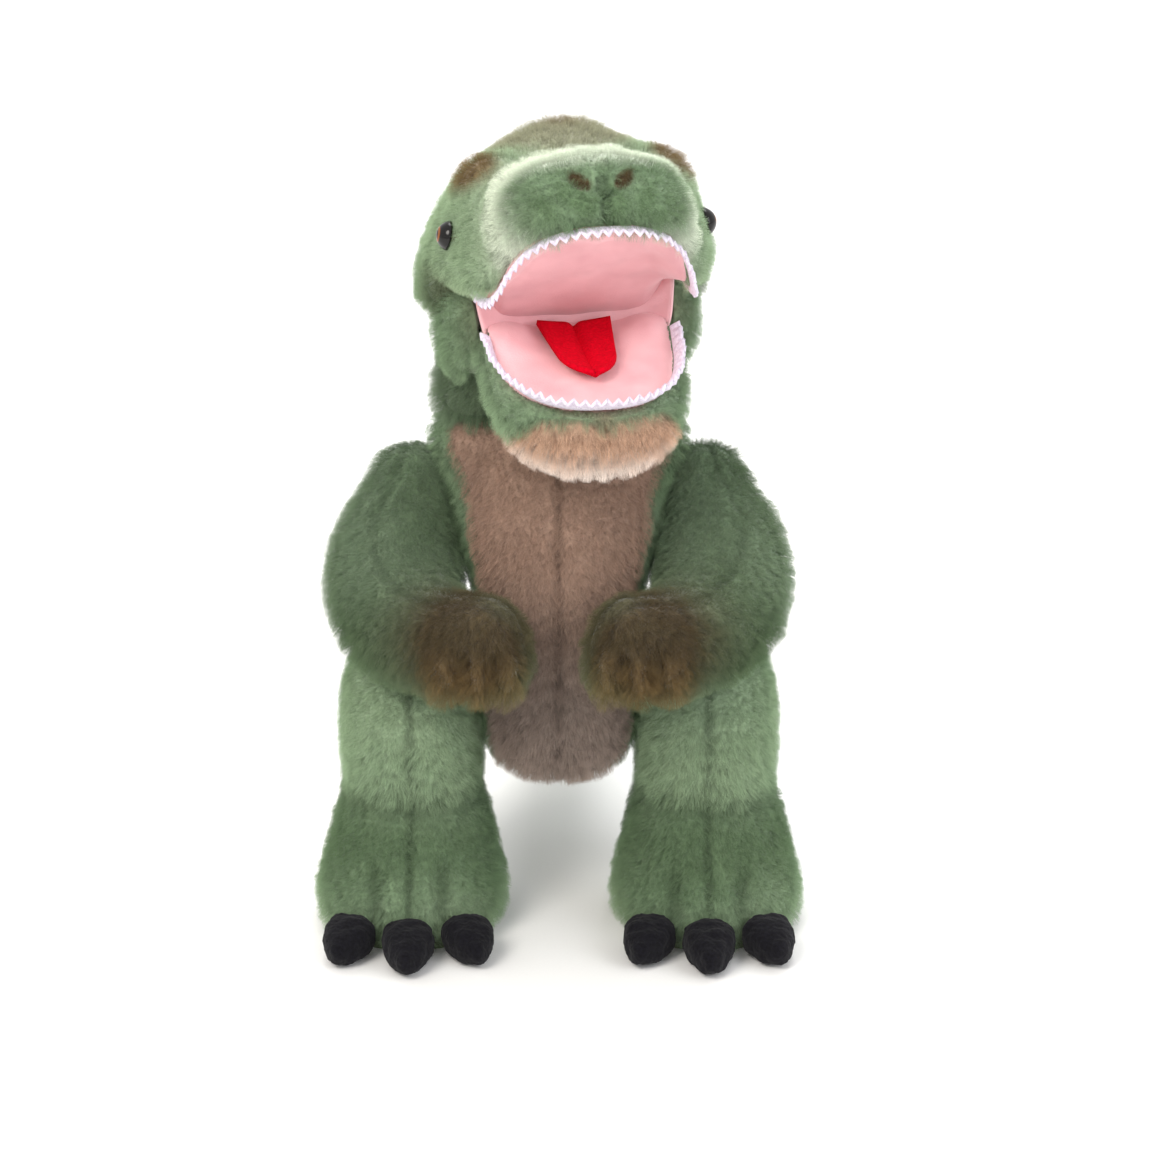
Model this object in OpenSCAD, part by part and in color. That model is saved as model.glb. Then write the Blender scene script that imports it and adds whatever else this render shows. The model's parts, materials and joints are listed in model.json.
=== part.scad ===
// Plush tyrannosaur, standing, mouth open, about thirty centimetres tall.
// Millimetres. It stands on z = 0 and looks along -Y. Its own left is +X.
// Each stuffed form is a row of rings. Skins are cut from the rings as panels
// that meet at the seams, and the filling is a solid just inside them.

/* [Torso] */
// Height of the crotch above the floor
crotch_z = 48; // [38:1:58]
// Height of the torso's top, where the neck sits
torso_top = 188; // [170:1:210]
// Width across the hips
hip_w = 57; // [46:1:70]
// Width across the shoulders
shoulder_w = 74; // [60:1:92]
// Depth from belly to back
torso_depth = 89; // [72:1:108]

/* [Neck] */
// Width of the neck
neck_w = 84; // [68:1:100]
// Radius of the neck's rounded top, about the nodding axis
neck_r = 25; // [20:0.5:28]
// How far the nodding axis lies behind the torso's middle
neck_y = 10; // [5:1:14]
// Height of the nodding axis above the torso's top
neck_rise = 14; // [12:1:18]

/* [Head] */
// Width across the cheeks
head_w = 102; // [84:1:122]
// Length from the mouth's hinge to the nose
muzzle_l = 84; // [70:1:100]
// Height of the crown above the palate
head_h = 65; // [54:1:78]
// How far the palate slopes up, in degrees
palate_tilt = 43; // [36:1:48]
// How far the head is turned to its own left, in degrees
head_turn = 12; // [0:1:20]
// Mouth hinge, in front of the nodding axis
hinge_ahead = 19; // [17:0.5:24]
// Mouth hinge, above the nodding axis
hinge_above = 22; // [20:0.5:27]

/* [Jaw] */
// Length from the mouth's hinge to the lower lip
jaw_l = 64; // [52:1:76]
// Width of the lower jaw
jaw_w = 72; // [58:1:86]
// Depth of the chin
jaw_d = 29; // [23:1:35]
// How far the lower jaw slopes down, in degrees
jaw_tilt = 15; // [10:1:18]
// Height of both rows of felt teeth
tooth_h = 6.5; // [4:0.5:7]
// Length of one felt tooth along the lip
tooth_pitch = 5; // [4:0.5:8]
// Width of the tongue
tongue_w = 27; // [20:1:34]
// Length of the tongue
tongue_l = 38; // [28:1:44]

/* [Eyes] */
// Diameter of each eye
eye_d = 10.5; // [8:0.5:13]
// Diameter of the eye's stem
stem_d = 4; // [3:0.2:5]
// Length of the eye's stem
stem_l = 13; // [10:0.5:16]
// Diameter of the lock washer on the stem
washer_d = 15; // [12:0.5:18]
// Thickness of the lock washer
washer_t = 1.4; // [1:0.1:2]

/* [Arms] */
// Thickness of the upper arm
arm_t = 42; // [34:1:50]
// Diameter of the rounded top of the arm
arm_root_d = 32; // [26:1:38]
// How far the elbow stands out from the shoulder
elbow_out = 8.5; // [5:0.5:13]
// How far the hand reaches forward of the shoulder
arm_reach = 75; // [68:1:90]
// How far the hand turns in from the shoulder
hand_in = 39; // [32:1:41]

/* [Legs] */
// Height of the leg's top
leg_h = 105; // [96:1:108]
// Height of the hip axis
hip_z = 80; // [74:1:86]
// Thickness of the thigh from side to side
thigh_t = 49; // [40:0.5:58]
// Width of the foot
foot_w = 67; // [56:1:78]
// Length of the foot without its claws
foot_l = 75; // [62:1:88]
// Thickness of the sole pad
sole_t = 2.7; // [2:0.1:4]
// Length of the middle claw
claw_l = 23; // [18:1:28]
// Width of one claw
claw_w = 19; // [15:0.5:20]
// Height of a claw at its base
claw_h = 14.8; // [12:0.2:16]

/* [Tail] */
// Thickness of the tail at its root
tail_t = 52; // [42:1:58]
// How far the tail reaches behind its root
tail_l = 113; // [90:1:136]
// How far the tail drops from its root
tail_drop = 68; // [55:1:70]

/* [Cloth] */
// Thickness of the plush's backing
skin_t = 1.5; // [1:0.1:2]
// Thickness of the felt
felt_t = 1.2; // [0.8:0.1:1.6]

/* [Fits] */
// Gap between a skin and the filling, or the next piece
gap = 0.3; // [0.2:0.05:0.5]
// Gap between two parts that move
run = 0.6; // [0.4:0.05:0.9]

/* [Hidden] */
claw_gap = 1.2;
// The side claws start this far ahead, so that their corners clear the foot.
claw_seat = 1.5;
hip_a = hip_w / 2;
sh_a = shoulder_w / 2;
front = torso_depth * 0.52;
rear = torso_depth * 0.48;
body_h = torso_top - crotch_z;
neck_z = torso_top + neck_rise;
hinge_y = neck_y - hinge_ahead;
hinge_z = neck_z + hinge_above;
leg_a = thigh_t / 2;
leg_x = hip_a + run + leg_a;
foot_x = leg_x + 0.5;
foot_y = -22;
hip_y = -6;
arm_root = arm_root_d / 2;
// A ball made of flats lies this far inside its own radius.
flats = 1;
arm_x = sh_a + run + arm_root - flats;
arm_z = torso_top - 28;
tail_r = tail_t / 2;
tail_y = rear + 1.5;
tail_z = crotch_z + 30;
claw_front = foot_y - foot_l * 0.51 - gap - claw_l;
tail_end = tail_y + tail_l;
mid_y = (claw_front + tail_end) / 2;

fur = "#6f8a62";
fur_dark = "#566b4c";
fur_light = "#8fa382";
belly = "#79695e";
chin = "#a2816a";
pink = "#f0b6b8";
felt_white = "#e8e0ea";
felt_red = "#d50325";
felt_black = "#1a191f";
fibre = "#efece4";
acrylic = "#282420";

// ---- rings, skins and fillings -------------------------------------------

// Each form is a function of a row number and an angle round the row. An angle
// of 0 is the +X side, 90 the front or top, 180 the -X side.

// A power that keeps its sign, for rounded-square rings.
function spow(v, e) = sign(v) * pow(abs(v), e);

function unit(v) = v / max(norm(v), 0.000001);

// A point of a ring: c its centre, u and v its axes, a its side reach, f and b
// its reach along v and against it, nf and nb how square those two halves are.
function on_ring(c, u, v, a, f, b, nf, nb, t) =
    let (s = sin(t), n = s > 0 ? nf : nb)
        c + u * a * spow(cos(t), 2 / n) + v * (s > 0 ? f : b) * spow(s, 2 / n);

// The point at row i and angle t, moved inwards by d.
function inner(form, last, i, t, d) =
    let (
        along = form(min(i + 1, last), t) - form(max(i - 1, 0), t),
        round = form(i, t + 8) - form(i, t - 8)
    ) form(i, t) - unit(cross(along, round)) * d;

function outward(form, last, i, t) =
    form(i, t) - inner(form, last, i, t, 1);

// A grid of points over rows i0 to i1, between the angles from(i) and to(i).
function grid(form, last, i0, i1, from, to, cols, d) = [
    for (i = [i0 : i1]) [
        for (j = [0 : cols])
            inner(form, last, i, from(i) + (to(i) - from(i)) * j / cols, d)
    ]
];

function middle(r) = [for (p = r) 1] * r / len(r);

// A closed solid through all the rings of g.
module loft(g) {
    m = len(g[0]);
    n = len(g);
    walls = [
        for (i = [0 : n - 2]) for (j = [0 : m - 1])
            let (a = i * m + j, b = i * m + (j + 1) % m, c = b + m, d = a + m)
                each [[a, b, c], [a, c, d]]
    ];
    low_cap = [for (j = [0 : m - 1]) [n * m, (j + 1) % m, j]];
    top_cap = [
        for (j = [0 : m - 1])
            [n * m + 1, (n - 1) * m + j, (n - 1) * m + (j + 1) % m]
    ];
    polyhedron(
        points = concat([for (r = g) each r], [middle(g[0]), middle(g[n - 1])]),
        faces = concat(walls, low_cap, top_cap)
    );
}

// A closed sheet between two open grids of the same size, g outside h.
module sheet(g, h) {
    n = len(g);
    m = len(g[0]);
    o = n * m;
    face = [
        for (i = [0 : n - 2]) for (j = [0 : m - 2])
            let (a = i * m + j, b = a + 1, c = b + m, d = a + m)
                each [
                    [a, b, c], [a, c, d],
                    [o + a, o + c, o + b], [o + a, o + d, o + c]
                ]
    ];
    ends = [
        for (j = [0 : m - 2])
            let (a = j, b = j + 1, d = (n - 1) * m + j, c = d + 1)
                each [
                    [a, o + a, o + b], [a, o + b, b],
                    [d, c, o + c], [d, o + c, o + d]
                ]
    ];
    sides = [
        for (i = [0 : n - 2])
            let (a = i * m, d = a + m, b = a + m - 1, c = b + m)
                each [
                    [a, d, o + d], [a, o + d, o + a],
                    [b, o + b, o + c], [b, o + c, c]
                ]
    ];
    polyhedron(
        points = concat([for (r = g) each r], [for (r = h) each r]),
        faces = concat(face, ends, sides)
    );
}

// One panel of skin. Its edges are seams, at angles that may change by row.
module panel(form, last, i0, i1, from, to, cols) {
    sheet(
        grid(form, last, i0, i1, from, to, cols, 0),
        grid(form, last, i0, i1, from, to, cols, skin_t)
    );
}

// A seam that keeps one angle all the way.
function at(t) = function(i) t;

// The filling of a form, just inside its skin. more is added to the gap where
// the form is tightly curved.
module filling(form, last, i0, i1, cols, more = 0) {
    step = 360 / cols;
    loft(grid(form, last, i0, i1, at(0), at(360 - step), cols - 1,
              skin_t + gap + more));
}

// Everything sits with its box centred on the origin.
module place() {
    translate([0, -mid_y, 0])
        children();
}

module turned() {
    place()
        translate([0, neck_y, 0])
            rotate([0, 0, head_turn])
                translate([0, -neck_y, 0])
                    children();
}

// Left pieces are drawn, right pieces are their mirror image.
module side(s) {
    place()
        if (s > 0) children();
        else mirror([1, 0, 0]) children();
}

// ---- torso ---------------------------------------------------------------

TORSO = [
    // share of height, middle y, side share, belly share, back share
    [-0.004, -6, 0.07, 0.05, 0.06],
    [0.000, -6, 0.24, 0.18, 0.19],
    [0.018, -6, 0.54, 0.40, 0.42],
    [0.060, -6, 0.79, 0.65, 0.66],
    [0.110, -5, 0.90, 0.80, 0.81],
    [0.165, -5, 0.95, 0.90, 0.90],
    [0.220, -5, 0.99, 0.96, 0.96],
    [0.280, -5, 1.00, 0.99, 0.99],
    [0.345, -4, 1.00, 1.00, 1.00],
    [0.430, -4, 1.00, 1.01, 0.98],
    [0.530, -3, 1.01, 0.98, 0.92],
    [0.640, -2, 1.00, 0.90, 0.85],
    [0.750, 0, 1.00, 0.80, 0.78],
    [0.860, 3, 1.00, 0.68, 0.71],
    [0.940, 6, 1.03, 0.58, 0.67],
    [0.990, 8, 1.05, 0.49, 0.62]
];
last_torso = len(TORSO) - 1;

// Side reach follows the hips low down and the shoulders high up.
function torso_side(t) =
    hip_a + (sh_a - hip_a) * min(max((t - 0.53) / 0.22, 0), 1);

// The back has a round hollow for the tail's root, of radius r.
function clear_tail(p, r) =
    let (q = r * r - p[0] * p[0] - pow(p[2] - tail_z, 2))
        q > 0 ? [p[0], min(p[1], tail_y - sqrt(q)), p[2]] : p;

function torso_ring(i, t, r) =
    let (k = TORSO[i])
        clear_tail(on_ring(
            [0, k[1], crotch_z + 0.6 + k[0] * body_h], [1, 0, 0], [0, -1, 0],
            k[2] * torso_side(k[0]), k[3] * front, k[4] * rear, 2.35, 2.35, t
        ), r);

torso = function(i, t) torso_ring(i, t, tail_r + 2.4 * run);

// The filling's own hollow is a little wider.
torso_core = function(i, t) torso_ring(i, t, tail_r + 2.4 * run + 2);

module torso_panel(a, b, cols) {
    place() panel(torso, last_torso, 0, last_torso, at(a), at(b), cols);
}

module belly_left() { color(belly) torso_panel(30, 90, 5); }
module belly_right() { color(belly) torso_panel(90, 150, 5); }
module back_right() { color(fur) torso_panel(150, 270, 10); }
module back_left() { color(fur) torso_panel(270, 390, 10); }
module torso_filling() {
    color(fibre) place() filling(torso_core, last_torso, 1, last_torso, 30);
}

// ---- neck ----------------------------------------------------------------

// Below the axis it is a straight stub, above it a half round about the axis.
NECK = [
    // angle above the axis in degrees, or share of the stub below it
    [0, 0, 0.96], [0.5, 0, 0.99], [1, 0, 1.00], [1, 22, 1.00], [1, 42, 0.97],
    [1, 60, 0.92], [1, 75, 0.84], [1, 84, 0.70], [1, 88, 0.40]
];
last_neck = len(NECK) - 1;

neck = function(i, t)
    let (
        r = NECK[i],
        d = neck_r * cos(r[1]) - 1.5 * (1 - r[0]),
        z = torso_top + gap + r[0] * (neck_rise - gap) + neck_r * sin(r[1])
    ) on_ring([0, neck_y, z], [1, 0, 0], [0, -1, 0], r[2] * neck_w / 2, d, d,
              2.3, 2.3, t);

module neck_panel(a, b) {
    turned() panel(neck, last_neck, 0, last_neck, at(a), at(b), 12);
}

module neck_left() { color(fur) neck_panel(-90, 90); }
module neck_right() { color(fur) neck_panel(90, 270); }
module neck_filling() {
    color(fibre) turned() filling(neck, last_neck, 0, last_neck, 24);
}

// ---- head ----------------------------------------------------------------

// A point f ahead of the mouth's hinge and u above it, on a tilted plane.
function tilted(x, f, u, tilt) = [
    x,
    hinge_y - f * cos(tilt) + u * sin(tilt),
    hinge_z + f * sin(tilt) + u * cos(tilt)
];

HEAD = [
    // share of muzzle length, side share, height of top, widest line and base,
    // squareness of the top
    [1.012, 0.05, 0.25, 0.21, 0.17, 2.3],
    [1.000, 0.21, 0.33, 0.20, 0.06, 2.3],
    [0.970, 0.38, 0.41, 0.19, 0.01, 2.3],
    [0.910, 0.52, 0.48, 0.19, 0.00, 2.3],
    [0.840, 0.61, 0.52, 0.20, 0.00, 2.3],
    [0.740, 0.66, 0.56, 0.21, 0.00, 2.2],
    [0.640, 0.72, 0.63, 0.22, 0.00, 2.1],
    [0.530, 0.81, 0.76, 0.23, 0.00, 2.0],
    [0.410, 0.89, 0.89, 0.24, 0.00, 1.9],
    [0.270, 0.96, 0.97, 0.25, 0.00, 1.9],
    [0.120, 0.99, 1.00, 0.25, 0.00, 1.9],
    [0.010, 1.00, 1.00, 0.26, 0.00, 1.9],
    [-0.130, 0.99, 0.97, 0.28, -0.03, 1.95],
    [-0.270, 0.93, 0.88, 0.31, -0.07, 2.05],
    [-0.390, 0.82, 0.76, 0.33, -0.10, 2.2],
    [-0.490, 0.64, 0.63, 0.33, -0.06, 2.3],
    [-0.550, 0.38, 0.50, 0.33, 0.10, 2.4],
    [-0.570, 0.10, 0.38, 0.33, 0.27, 2.4]
];
last_head = len(HEAD) - 1;
brow_row = 6;
eye_row = 8;
hinge_row = 11;

// The nodding axis, seen from the hinge: f ahead of it and u above the palate.
axis_f = -hinge_ahead * cos(palate_tilt) - hinge_above * sin(palate_tilt);
axis_u = hinge_ahead * sin(palate_tilt) - hinge_above * cos(palate_tilt);

// Points inside the neck's rounded top are lifted to a saddle over it.
function clear_neck(p, f) =
    let (
        r = neck_r + 2 * run,
        df = f - axis_f,
        u = (p[1] - hinge_y) * sin(palate_tilt) + (p[2] - hinge_z) * cos(palate_tilt),
        low = abs(df) < r ? axis_u + sqrt(r * r - df * df) : u
    ) u < low ? tilted(p[0], f, low, palate_tilt) : p;

head = function(i, t)
    let (
        r = HEAD[i],
        c = tilted(0, r[0] * muzzle_l, r[3] * head_h, palate_tilt),
        up = [0, sin(palate_tilt), cos(palate_tilt)]
    ) clear_neck(on_ring(
        c, [1, 0, 0], up, r[1] * head_w / 2, (r[2] - r[3]) * head_h,
        (r[3] - r[4]) * head_h, HEAD[i][5], i > hinge_row ? 3 : 4, t
    ), r[0] * muzzle_l);

// The lip's seam lies under the widest line, and nearer the middle at the back.
lip = function(i) i < 5 ? 32 : min(32 + (i - 4) * 5.5, 70);
lip_left = function(i) -lip(i);
lip_right = function(i) 180 + lip(i);
lip_end = function(i) 360 - lip(i);

function eye_spot(s) =
    let (p = head(eye_row, 3)) [s * p[0], p[1], p[2]];
function eye_way(s) =
    let (n = outward(head, last_head, eye_row, 3)) [s * n[0], n[1], n[2]];

module aimed(p, n) {
    translate(p)
        rotate([0, acos(n[2]), atan2(n[1], n[0])])
            children();
}

module eye_hole(s) {
    aimed(eye_spot(s), eye_way(s))
        translate([0, 0, -stem_l - 2])
            cylinder(h = stem_l + 8, d = stem_d + 2 * gap, $fn = 24);
}

// The pocket in the filling that the stem and its washer stand in.
module eye_pocket(s) {
    eye_hole(s);
    aimed(eye_spot(s), eye_way(s))
        translate([0, 0, -skin_t - washer_t - 6 * gap])
            cylinder(h = skin_t + washer_t + 12, d = washer_d + 2 * gap, $fn = 32);
}

module muzzle_left() {
    color(fur_light) turned()
        panel(head, last_head, 0, brow_row, lip_left, at(90), 10);
}
module muzzle_right() {
    color(fur_light) turned()
        panel(head, last_head, 0, brow_row, at(90), lip_right, 10);
}
module cheek_left() {
    color(fur) turned() difference() {
        panel(head, last_head, brow_row, last_head, lip_left, at(56), 9);
        eye_hole(1);
    }
}
module cheek_right() {
    color(fur) turned() difference() {
        panel(head, last_head, brow_row, last_head, at(124), lip_right, 9);
        eye_hole(-1);
    }
}
module crown_gusset() {
    color(fur_dark) turned()
        panel(head, last_head, brow_row, last_head, at(56), at(124), 6);
}
module palate_lining() {
    color(pink) turned()
        panel(head, last_head, 0, hinge_row, lip_right, lip_end, 8);
}
module head_filling() {
    color(fibre) turned() difference() {
        filling(head, last_head, 1, last_head - 1, 30);
        eye_pocket(1);
        eye_pocket(-1);
    }
}

// ---- eyes ----------------------------------------------------------------

// A domed eye on a stem that goes through the skin.
module eye(s) {
    r = eye_d / 2;
    aimed(eye_spot(s), eye_way(s))
        translate([0, 0, 1.2 * gap])
            rotate_extrude($fn = 48)
                union() {
                    intersection() {
                        translate([0, -r * 0.35]) circle(r = r * 1.06, $fn = 64);
                        square([r * 1.2, r * 1.2]);
                    }
                    translate([0, -stem_l]) square([stem_d / 2, stem_l + 0.2]);
                }
}

// The washer that locks the stem behind the skin.
module washer(s) {
    aimed(eye_spot(s), eye_way(s))
        translate([0, 0, -skin_t - washer_t - 3.5 * gap])
            difference() {
                cylinder(h = washer_t, d = washer_d, $fn = 48);
                translate([0, 0, -1])
                    cylinder(h = washer_t + 2, d = stem_d + 0.1, $fn = 48);
            }
}

module eye_left() { color(acrylic) turned() eye(1); }
module eye_right() { color(acrylic) turned() eye(-1); }
module eye_washer_left() { color("white") turned() washer(1); }
module eye_washer_right() { color("white") turned() washer(-1); }

// ---- teeth ---------------------------------------------------------------

// The line of the teeth: half a rounded square, from one corner to the other.
function bow(t, w, f0, f1) =
    [w * spow(cos(t), 0.8), f0 + (f1 - f0) * spow(sin(t), 0.8)];

// A strip of felt that stands on a tilted plane and has a pinked free edge.
module tooth_strip(w, f0, f1, tilt, way) {
    count = 2 * round((w * 1.6 + (f1 - f0) * 1.9) / tooth_pitch);
    wall = function(dw) [for (r = [0, 1]) [
        for (k = [0 : count])
            let (
                q = bow(180 * k / count, w - dw, f0, f1 - dw),
                edge = k % 2 == 0 ? tooth_h - 2.4 : tooth_h
            ) tilted(q[0], q[1], way * (gap + 0.1 + r * edge), tilt)
    ]];
    if (way < 0) sheet(wall(0), wall(felt_t));
    else sheet(wall(felt_t), wall(0));
}

module upper_teeth() {
    color(felt_white) turned()
        tooth_strip(jaw_w / 2 + 1.5, muzzle_l * 0.15, muzzle_l * 0.93,
                    palate_tilt, -1);
}
module lower_teeth() {
    color(felt_white) turned()
        tooth_strip(jaw_w / 2 - 3.5, jaw_l * 0.2, jaw_l * 0.95, -jaw_tilt, 1);
}

// ---- jaw -----------------------------------------------------------------

JAW = [
    // share of jaw length, side share, height of top, widest line and base
    [1.012, 0.05, -0.16, -0.22, -0.28],
    [1.000, 0.26, -0.03, -0.22, -0.48],
    [0.975, 0.46, 0.00, -0.23, -0.66],
    [0.920, 0.64, 0.00, -0.25, -0.87],
    [0.820, 0.79, 0.00, -0.28, -0.98],
    [0.680, 0.90, 0.00, -0.30, -1.00],
    [0.520, 0.96, 0.00, -0.28, -0.96],
    [0.370, 0.99, 0.00, -0.25, -0.79],
    [0.230, 1.00, 0.00, -0.19, -0.53],
    [0.110, 1.00, 0.00, -0.10, -0.25],
    [0.009, 1.00, 0.00, -0.06, -0.15]
];
last_jaw = len(JAW) - 1;

jaw = function(i, t)
    let (
        r = JAW[i],
        c = tilted(0, r[0] * jaw_l, r[3] * jaw_d, -jaw_tilt),
        up = [0, -sin(jaw_tilt), cos(jaw_tilt)]
    ) on_ring(c, [1, 0, 0], up, r[1] * jaw_w / 2, (r[2] - r[3]) * jaw_d,
              (r[3] - r[4]) * jaw_d, 4, 2.4, t);

// The chin's seams run high round the front and low further back.
CHIN = [164, 168, 172, 178, 190, 205, 218, 228, 234, 238, 240];
chin_right = function(i) CHIN[i];
chin_left = function(i) 540 - CHIN[i];

module jaw_panel(from, to, cols) {
    turned() panel(jaw, last_jaw, 0, last_jaw, from, to, cols);
}

module jaw_lining() { color(pink) jaw_panel(at(30), at(150), 8); }
module jaw_side_right() { color(fur) jaw_panel(at(150), chin_right, 5); }
module chin_panel() { color(chin) jaw_panel(chin_right, chin_left, 10); }
module jaw_side_left() { color(fur) jaw_panel(chin_left, at(390), 5); }
module jaw_filling() {
    color(fibre) turned() filling(jaw, last_jaw, 2, last_jaw - 2, 24, 0.5);
}

// The tongue is a leaf of felt that lies on the lining, its tip a little up.
TONGUE = [
    // share of length, side share, lift
    [1.00, 0.20, 2.2], [0.93, 0.52, 1.8], [0.80, 0.76, 1.2], [0.60, 0.93, 0.8],
    [0.38, 1.00, 0.5], [0.16, 1.00, 0.4], [0.00, 0.98, 0.4]
];
module tongue() {
    leaf = function(thick) [for (r = TONGUE) [
        for (k = [-4 : 4])
            let (s = k / 4)
                tilted(s * r[1] * tongue_w / 2, jaw_l * 0.1 + r[0] * tongue_l,
                       gap + r[2] + 0.7 * s * s + thick * sqrt(1.02 - s * s),
                       -jaw_tilt)
    ]];
    color(felt_red) turned() sheet(leaf(0), leaf(1.8));
}

// ---- arms ----------------------------------------------------------------

ARM = [
    // elbow share, inward share, forward share, down, half thickness and height
    [0.00, 0.00, -0.135, -13.5, 2.6, 2.6],
    [0.00, 0.00, -0.115, -11.5, 9.3, 9.3],
    [0.00, 0.00, -0.060, -7.0, 14.0, 14.0],
    [0.10, 0.00, 0.010, 1.0, 16.2, 16.2],
    [0.40, 0.00, 0.070, 11.0, 19.0, 19.0],
    [0.85, 0.00, 0.150, 21.0, 21.0, 20.4],
    [1.00, 0.00, 0.270, 30.0, 21.2, 20.0],
    [0.95, 0.05, 0.430, 36.5, 20.2, 18.8],
    [0.80, 0.20, 0.600, 39.0, 18.6, 17.6],
    [0.55, 0.43, 0.750, 38.5, 17.0, 17.2],
    [0.30, 0.67, 0.860, 37.0, 15.8, 18.6],
    [0.12, 0.83, 0.925, 36.0, 14.0, 19.6],
    [0.05, 0.94, 0.965, 36.0, 10.8, 16.8],
    [0.00, 0.99, 0.990, 36.0, 6.2, 10.4],
    [0.00, 1.00, 1.000, 36.0, 2.0, 3.2]
];
last_arm = len(ARM) - 1;

function arm_point(i) =
    let (r = ARM[min(max(i, 0), last_arm)]) [
        arm_x + r[0] * elbow_out - r[1] * hand_in,
        -r[2] * arm_reach,
        arm_z - r[3]
    ];

// Near the shoulder the arm stays inside a ball about its pivot.
function in_root(p, i) =
    let (c = [arm_x, 0, arm_z], v = p - c)
        i < 4 && norm(v) > arm_root
            ? c + unit(v) * arm_root
            : [max(p[0], i < 8 ? arm_x - arm_root : 0), p[1], p[2]];

// Each ring stands square to the arm's own line.
arm = function(i, t)
    let (
        way = unit(arm_point(i + 1) - arm_point(i - 1)),
        u = unit(cross(way, [0.2, -0.3, 0.93])),
        k = arm_t / 42
    ) in_root(
        on_ring(arm_point(i), u, cross(u, way), ARM[i][4] * k, ARM[i][5] * k,
                ARM[i][5] * k, 2.1, 2.1, t),
        i
    );

module arm_panel(s, a, b) {
    side(s) panel(arm, last_arm, 0, last_arm, at(a), at(b), 9);
}
module arm_filling(s) { side(s) filling(arm, last_arm, 1, last_arm - 1, 18); }

module arm_outer_left() { color(fur_dark) arm_panel(1, -90, 90); }
module arm_inner_left() { color(fur) arm_panel(1, 90, 270); }
module arm_filling_left() { color(fibre) arm_filling(1); }
module arm_outer_right() { color(fur_dark) arm_panel(-1, -90, 90); }
module arm_inner_right() { color(fur) arm_panel(-1, 90, 270); }
module arm_filling_right() { color(fibre) arm_filling(-1); }

// ---- legs ----------------------------------------------------------------

LEG = [
    // height, shift out, middle y, side share, front and back share of the foot
    [3.0, 1, 0, 0.93, 0.465, 0.450],
    [8.0, 1, 0, 1.00, 0.510, 0.490],
    [18.0, 1, 0, 0.985, 0.505, 0.480],
    [30.0, 0.5, 2, 0.880, 0.435, 0.440],
    [43.0, 0, 4, 0.780, 0.390, 0.415],
    [54.0, 0, 5, 0.980, 0.380, 0.425],
    [60.0, 0, 6, 0.970, 0.415, 0.445],
    [70.0, 0, 9, 1.000, 0.470, 0.485],
    [82.0, 0, 11, 1.000, 0.495, 0.505],
    [92.0, 0, 13, 0.940, 0.440, 0.450],
    [99.5, 0, 14, 0.770, 0.320, 0.330],
    [104.0, 0, 14, 0.400, 0.150, 0.160],
    [105.0, 0, 14, 0.100, 0.040, 0.040]
];
last_leg = len(LEG) - 1;

// Below the knee the side follows the foot, above it the thigh.
leg = function(i, t)
    let (
        r = LEG[i],
        half = i < 5 ? foot_w / 2 : leg_a,
        z = i < 2 ? r[0] : r[0] * leg_h / 105
    ) on_ring([leg_x + (foot_x - leg_x) * r[1], foot_y + r[2], z],
              [1, 0, 0], [0, -1, 0], r[3] * half, r[4] * foot_l, r[5] * foot_l,
              2.3, 2.3, t);

module leg_panel(s, a, b) {
    side(s) panel(leg, last_leg, 0, last_leg, at(a), at(b), 10);
}
module leg_filling(s) { side(s) filling(leg, last_leg, 0, last_leg - 1, 20); }

// The sole is a flat pad a little inside the foot's outline.
module sole(s) {
    r = LEG[0];
    outline = [
        for (k = [0 : 35])
            let (
                p = on_ring([foot_x, foot_y, 0], [1, 0, 0], [0, -1, 0],
                            r[3] * foot_w / 2 - 1, r[4] * foot_l - 1,
                            r[5] * foot_l - 1, 2.3, 2.3, 10 * k)
            ) [p[0], p[1]]
    ];
    side(s) linear_extrude(sole_t) polygon(outline);
}

CLAW = [
    // share of length, side share, rise above and below the middle
    [0.00, 0.93, 0.48, 0.46], [0.20, 1.00, 0.50, 0.48], [0.46, 0.88, 0.45, 0.48],
    [0.70, 0.64, 0.34, 0.46], [0.90, 0.34, 0.21, 0.36], [1.00, 0.12, 0.08, 0.18]
];
claw_dx = claw_w + claw_gap;

// A blunt felt claw that starts at the foot's front. dx is its place across
// the foot, turn its angle outward and share its part of the full length.
module claw(s, dx, turn, share) {
    reach = pow(1 - pow(abs(dx) / (foot_w / 2), 2.3), 1 / 2.3);
    ahead = dx == 0 ? 0 : claw_seat;
    g = [
        for (r = CLAW) [
            for (k = [0 : 15])
                on_ring([0, -r[0] * claw_l * share, claw_h * 0.5 + 0.4],
                        [-1, 0, 0], [0, 0, 1], r[1] * claw_w / 2,
                        r[2] * claw_h, r[3] * claw_h, 2.5, 3, 22.5 * k)
        ]
    ];
    side(s)
        translate([foot_x + dx, foot_y - foot_l * 0.51 * reach - gap - ahead, 0])
            rotate([0, 0, turn])
                loft(g);
}

module leg_outer_left() { color(fur_light) leg_panel(1, -90, 90); }
module leg_inner_left() { color(fur) leg_panel(1, 90, 270); }
module leg_filling_left() { color(fibre) leg_filling(1); }
module sole_left() { color(fur_dark) sole(1); }
module claw_inner_left() { color(felt_black) claw(1, -claw_dx, -16, 0.86); }
module claw_middle_left() { color(felt_black) claw(1, 0, 0, 1); }
module claw_outer_left() { color(felt_black) claw(1, claw_dx, 16, 0.86); }
module leg_outer_right() { color(fur_light) leg_panel(-1, -90, 90); }
module leg_inner_right() { color(fur) leg_panel(-1, 90, 270); }
module leg_filling_right() { color(fibre) leg_filling(-1); }
module sole_right() { color(fur_dark) sole(-1); }
module claw_inner_right() { color(felt_black) claw(-1, -claw_dx, -16, 0.86); }
module claw_middle_right() { color(felt_black) claw(-1, 0, 0, 1); }
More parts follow.
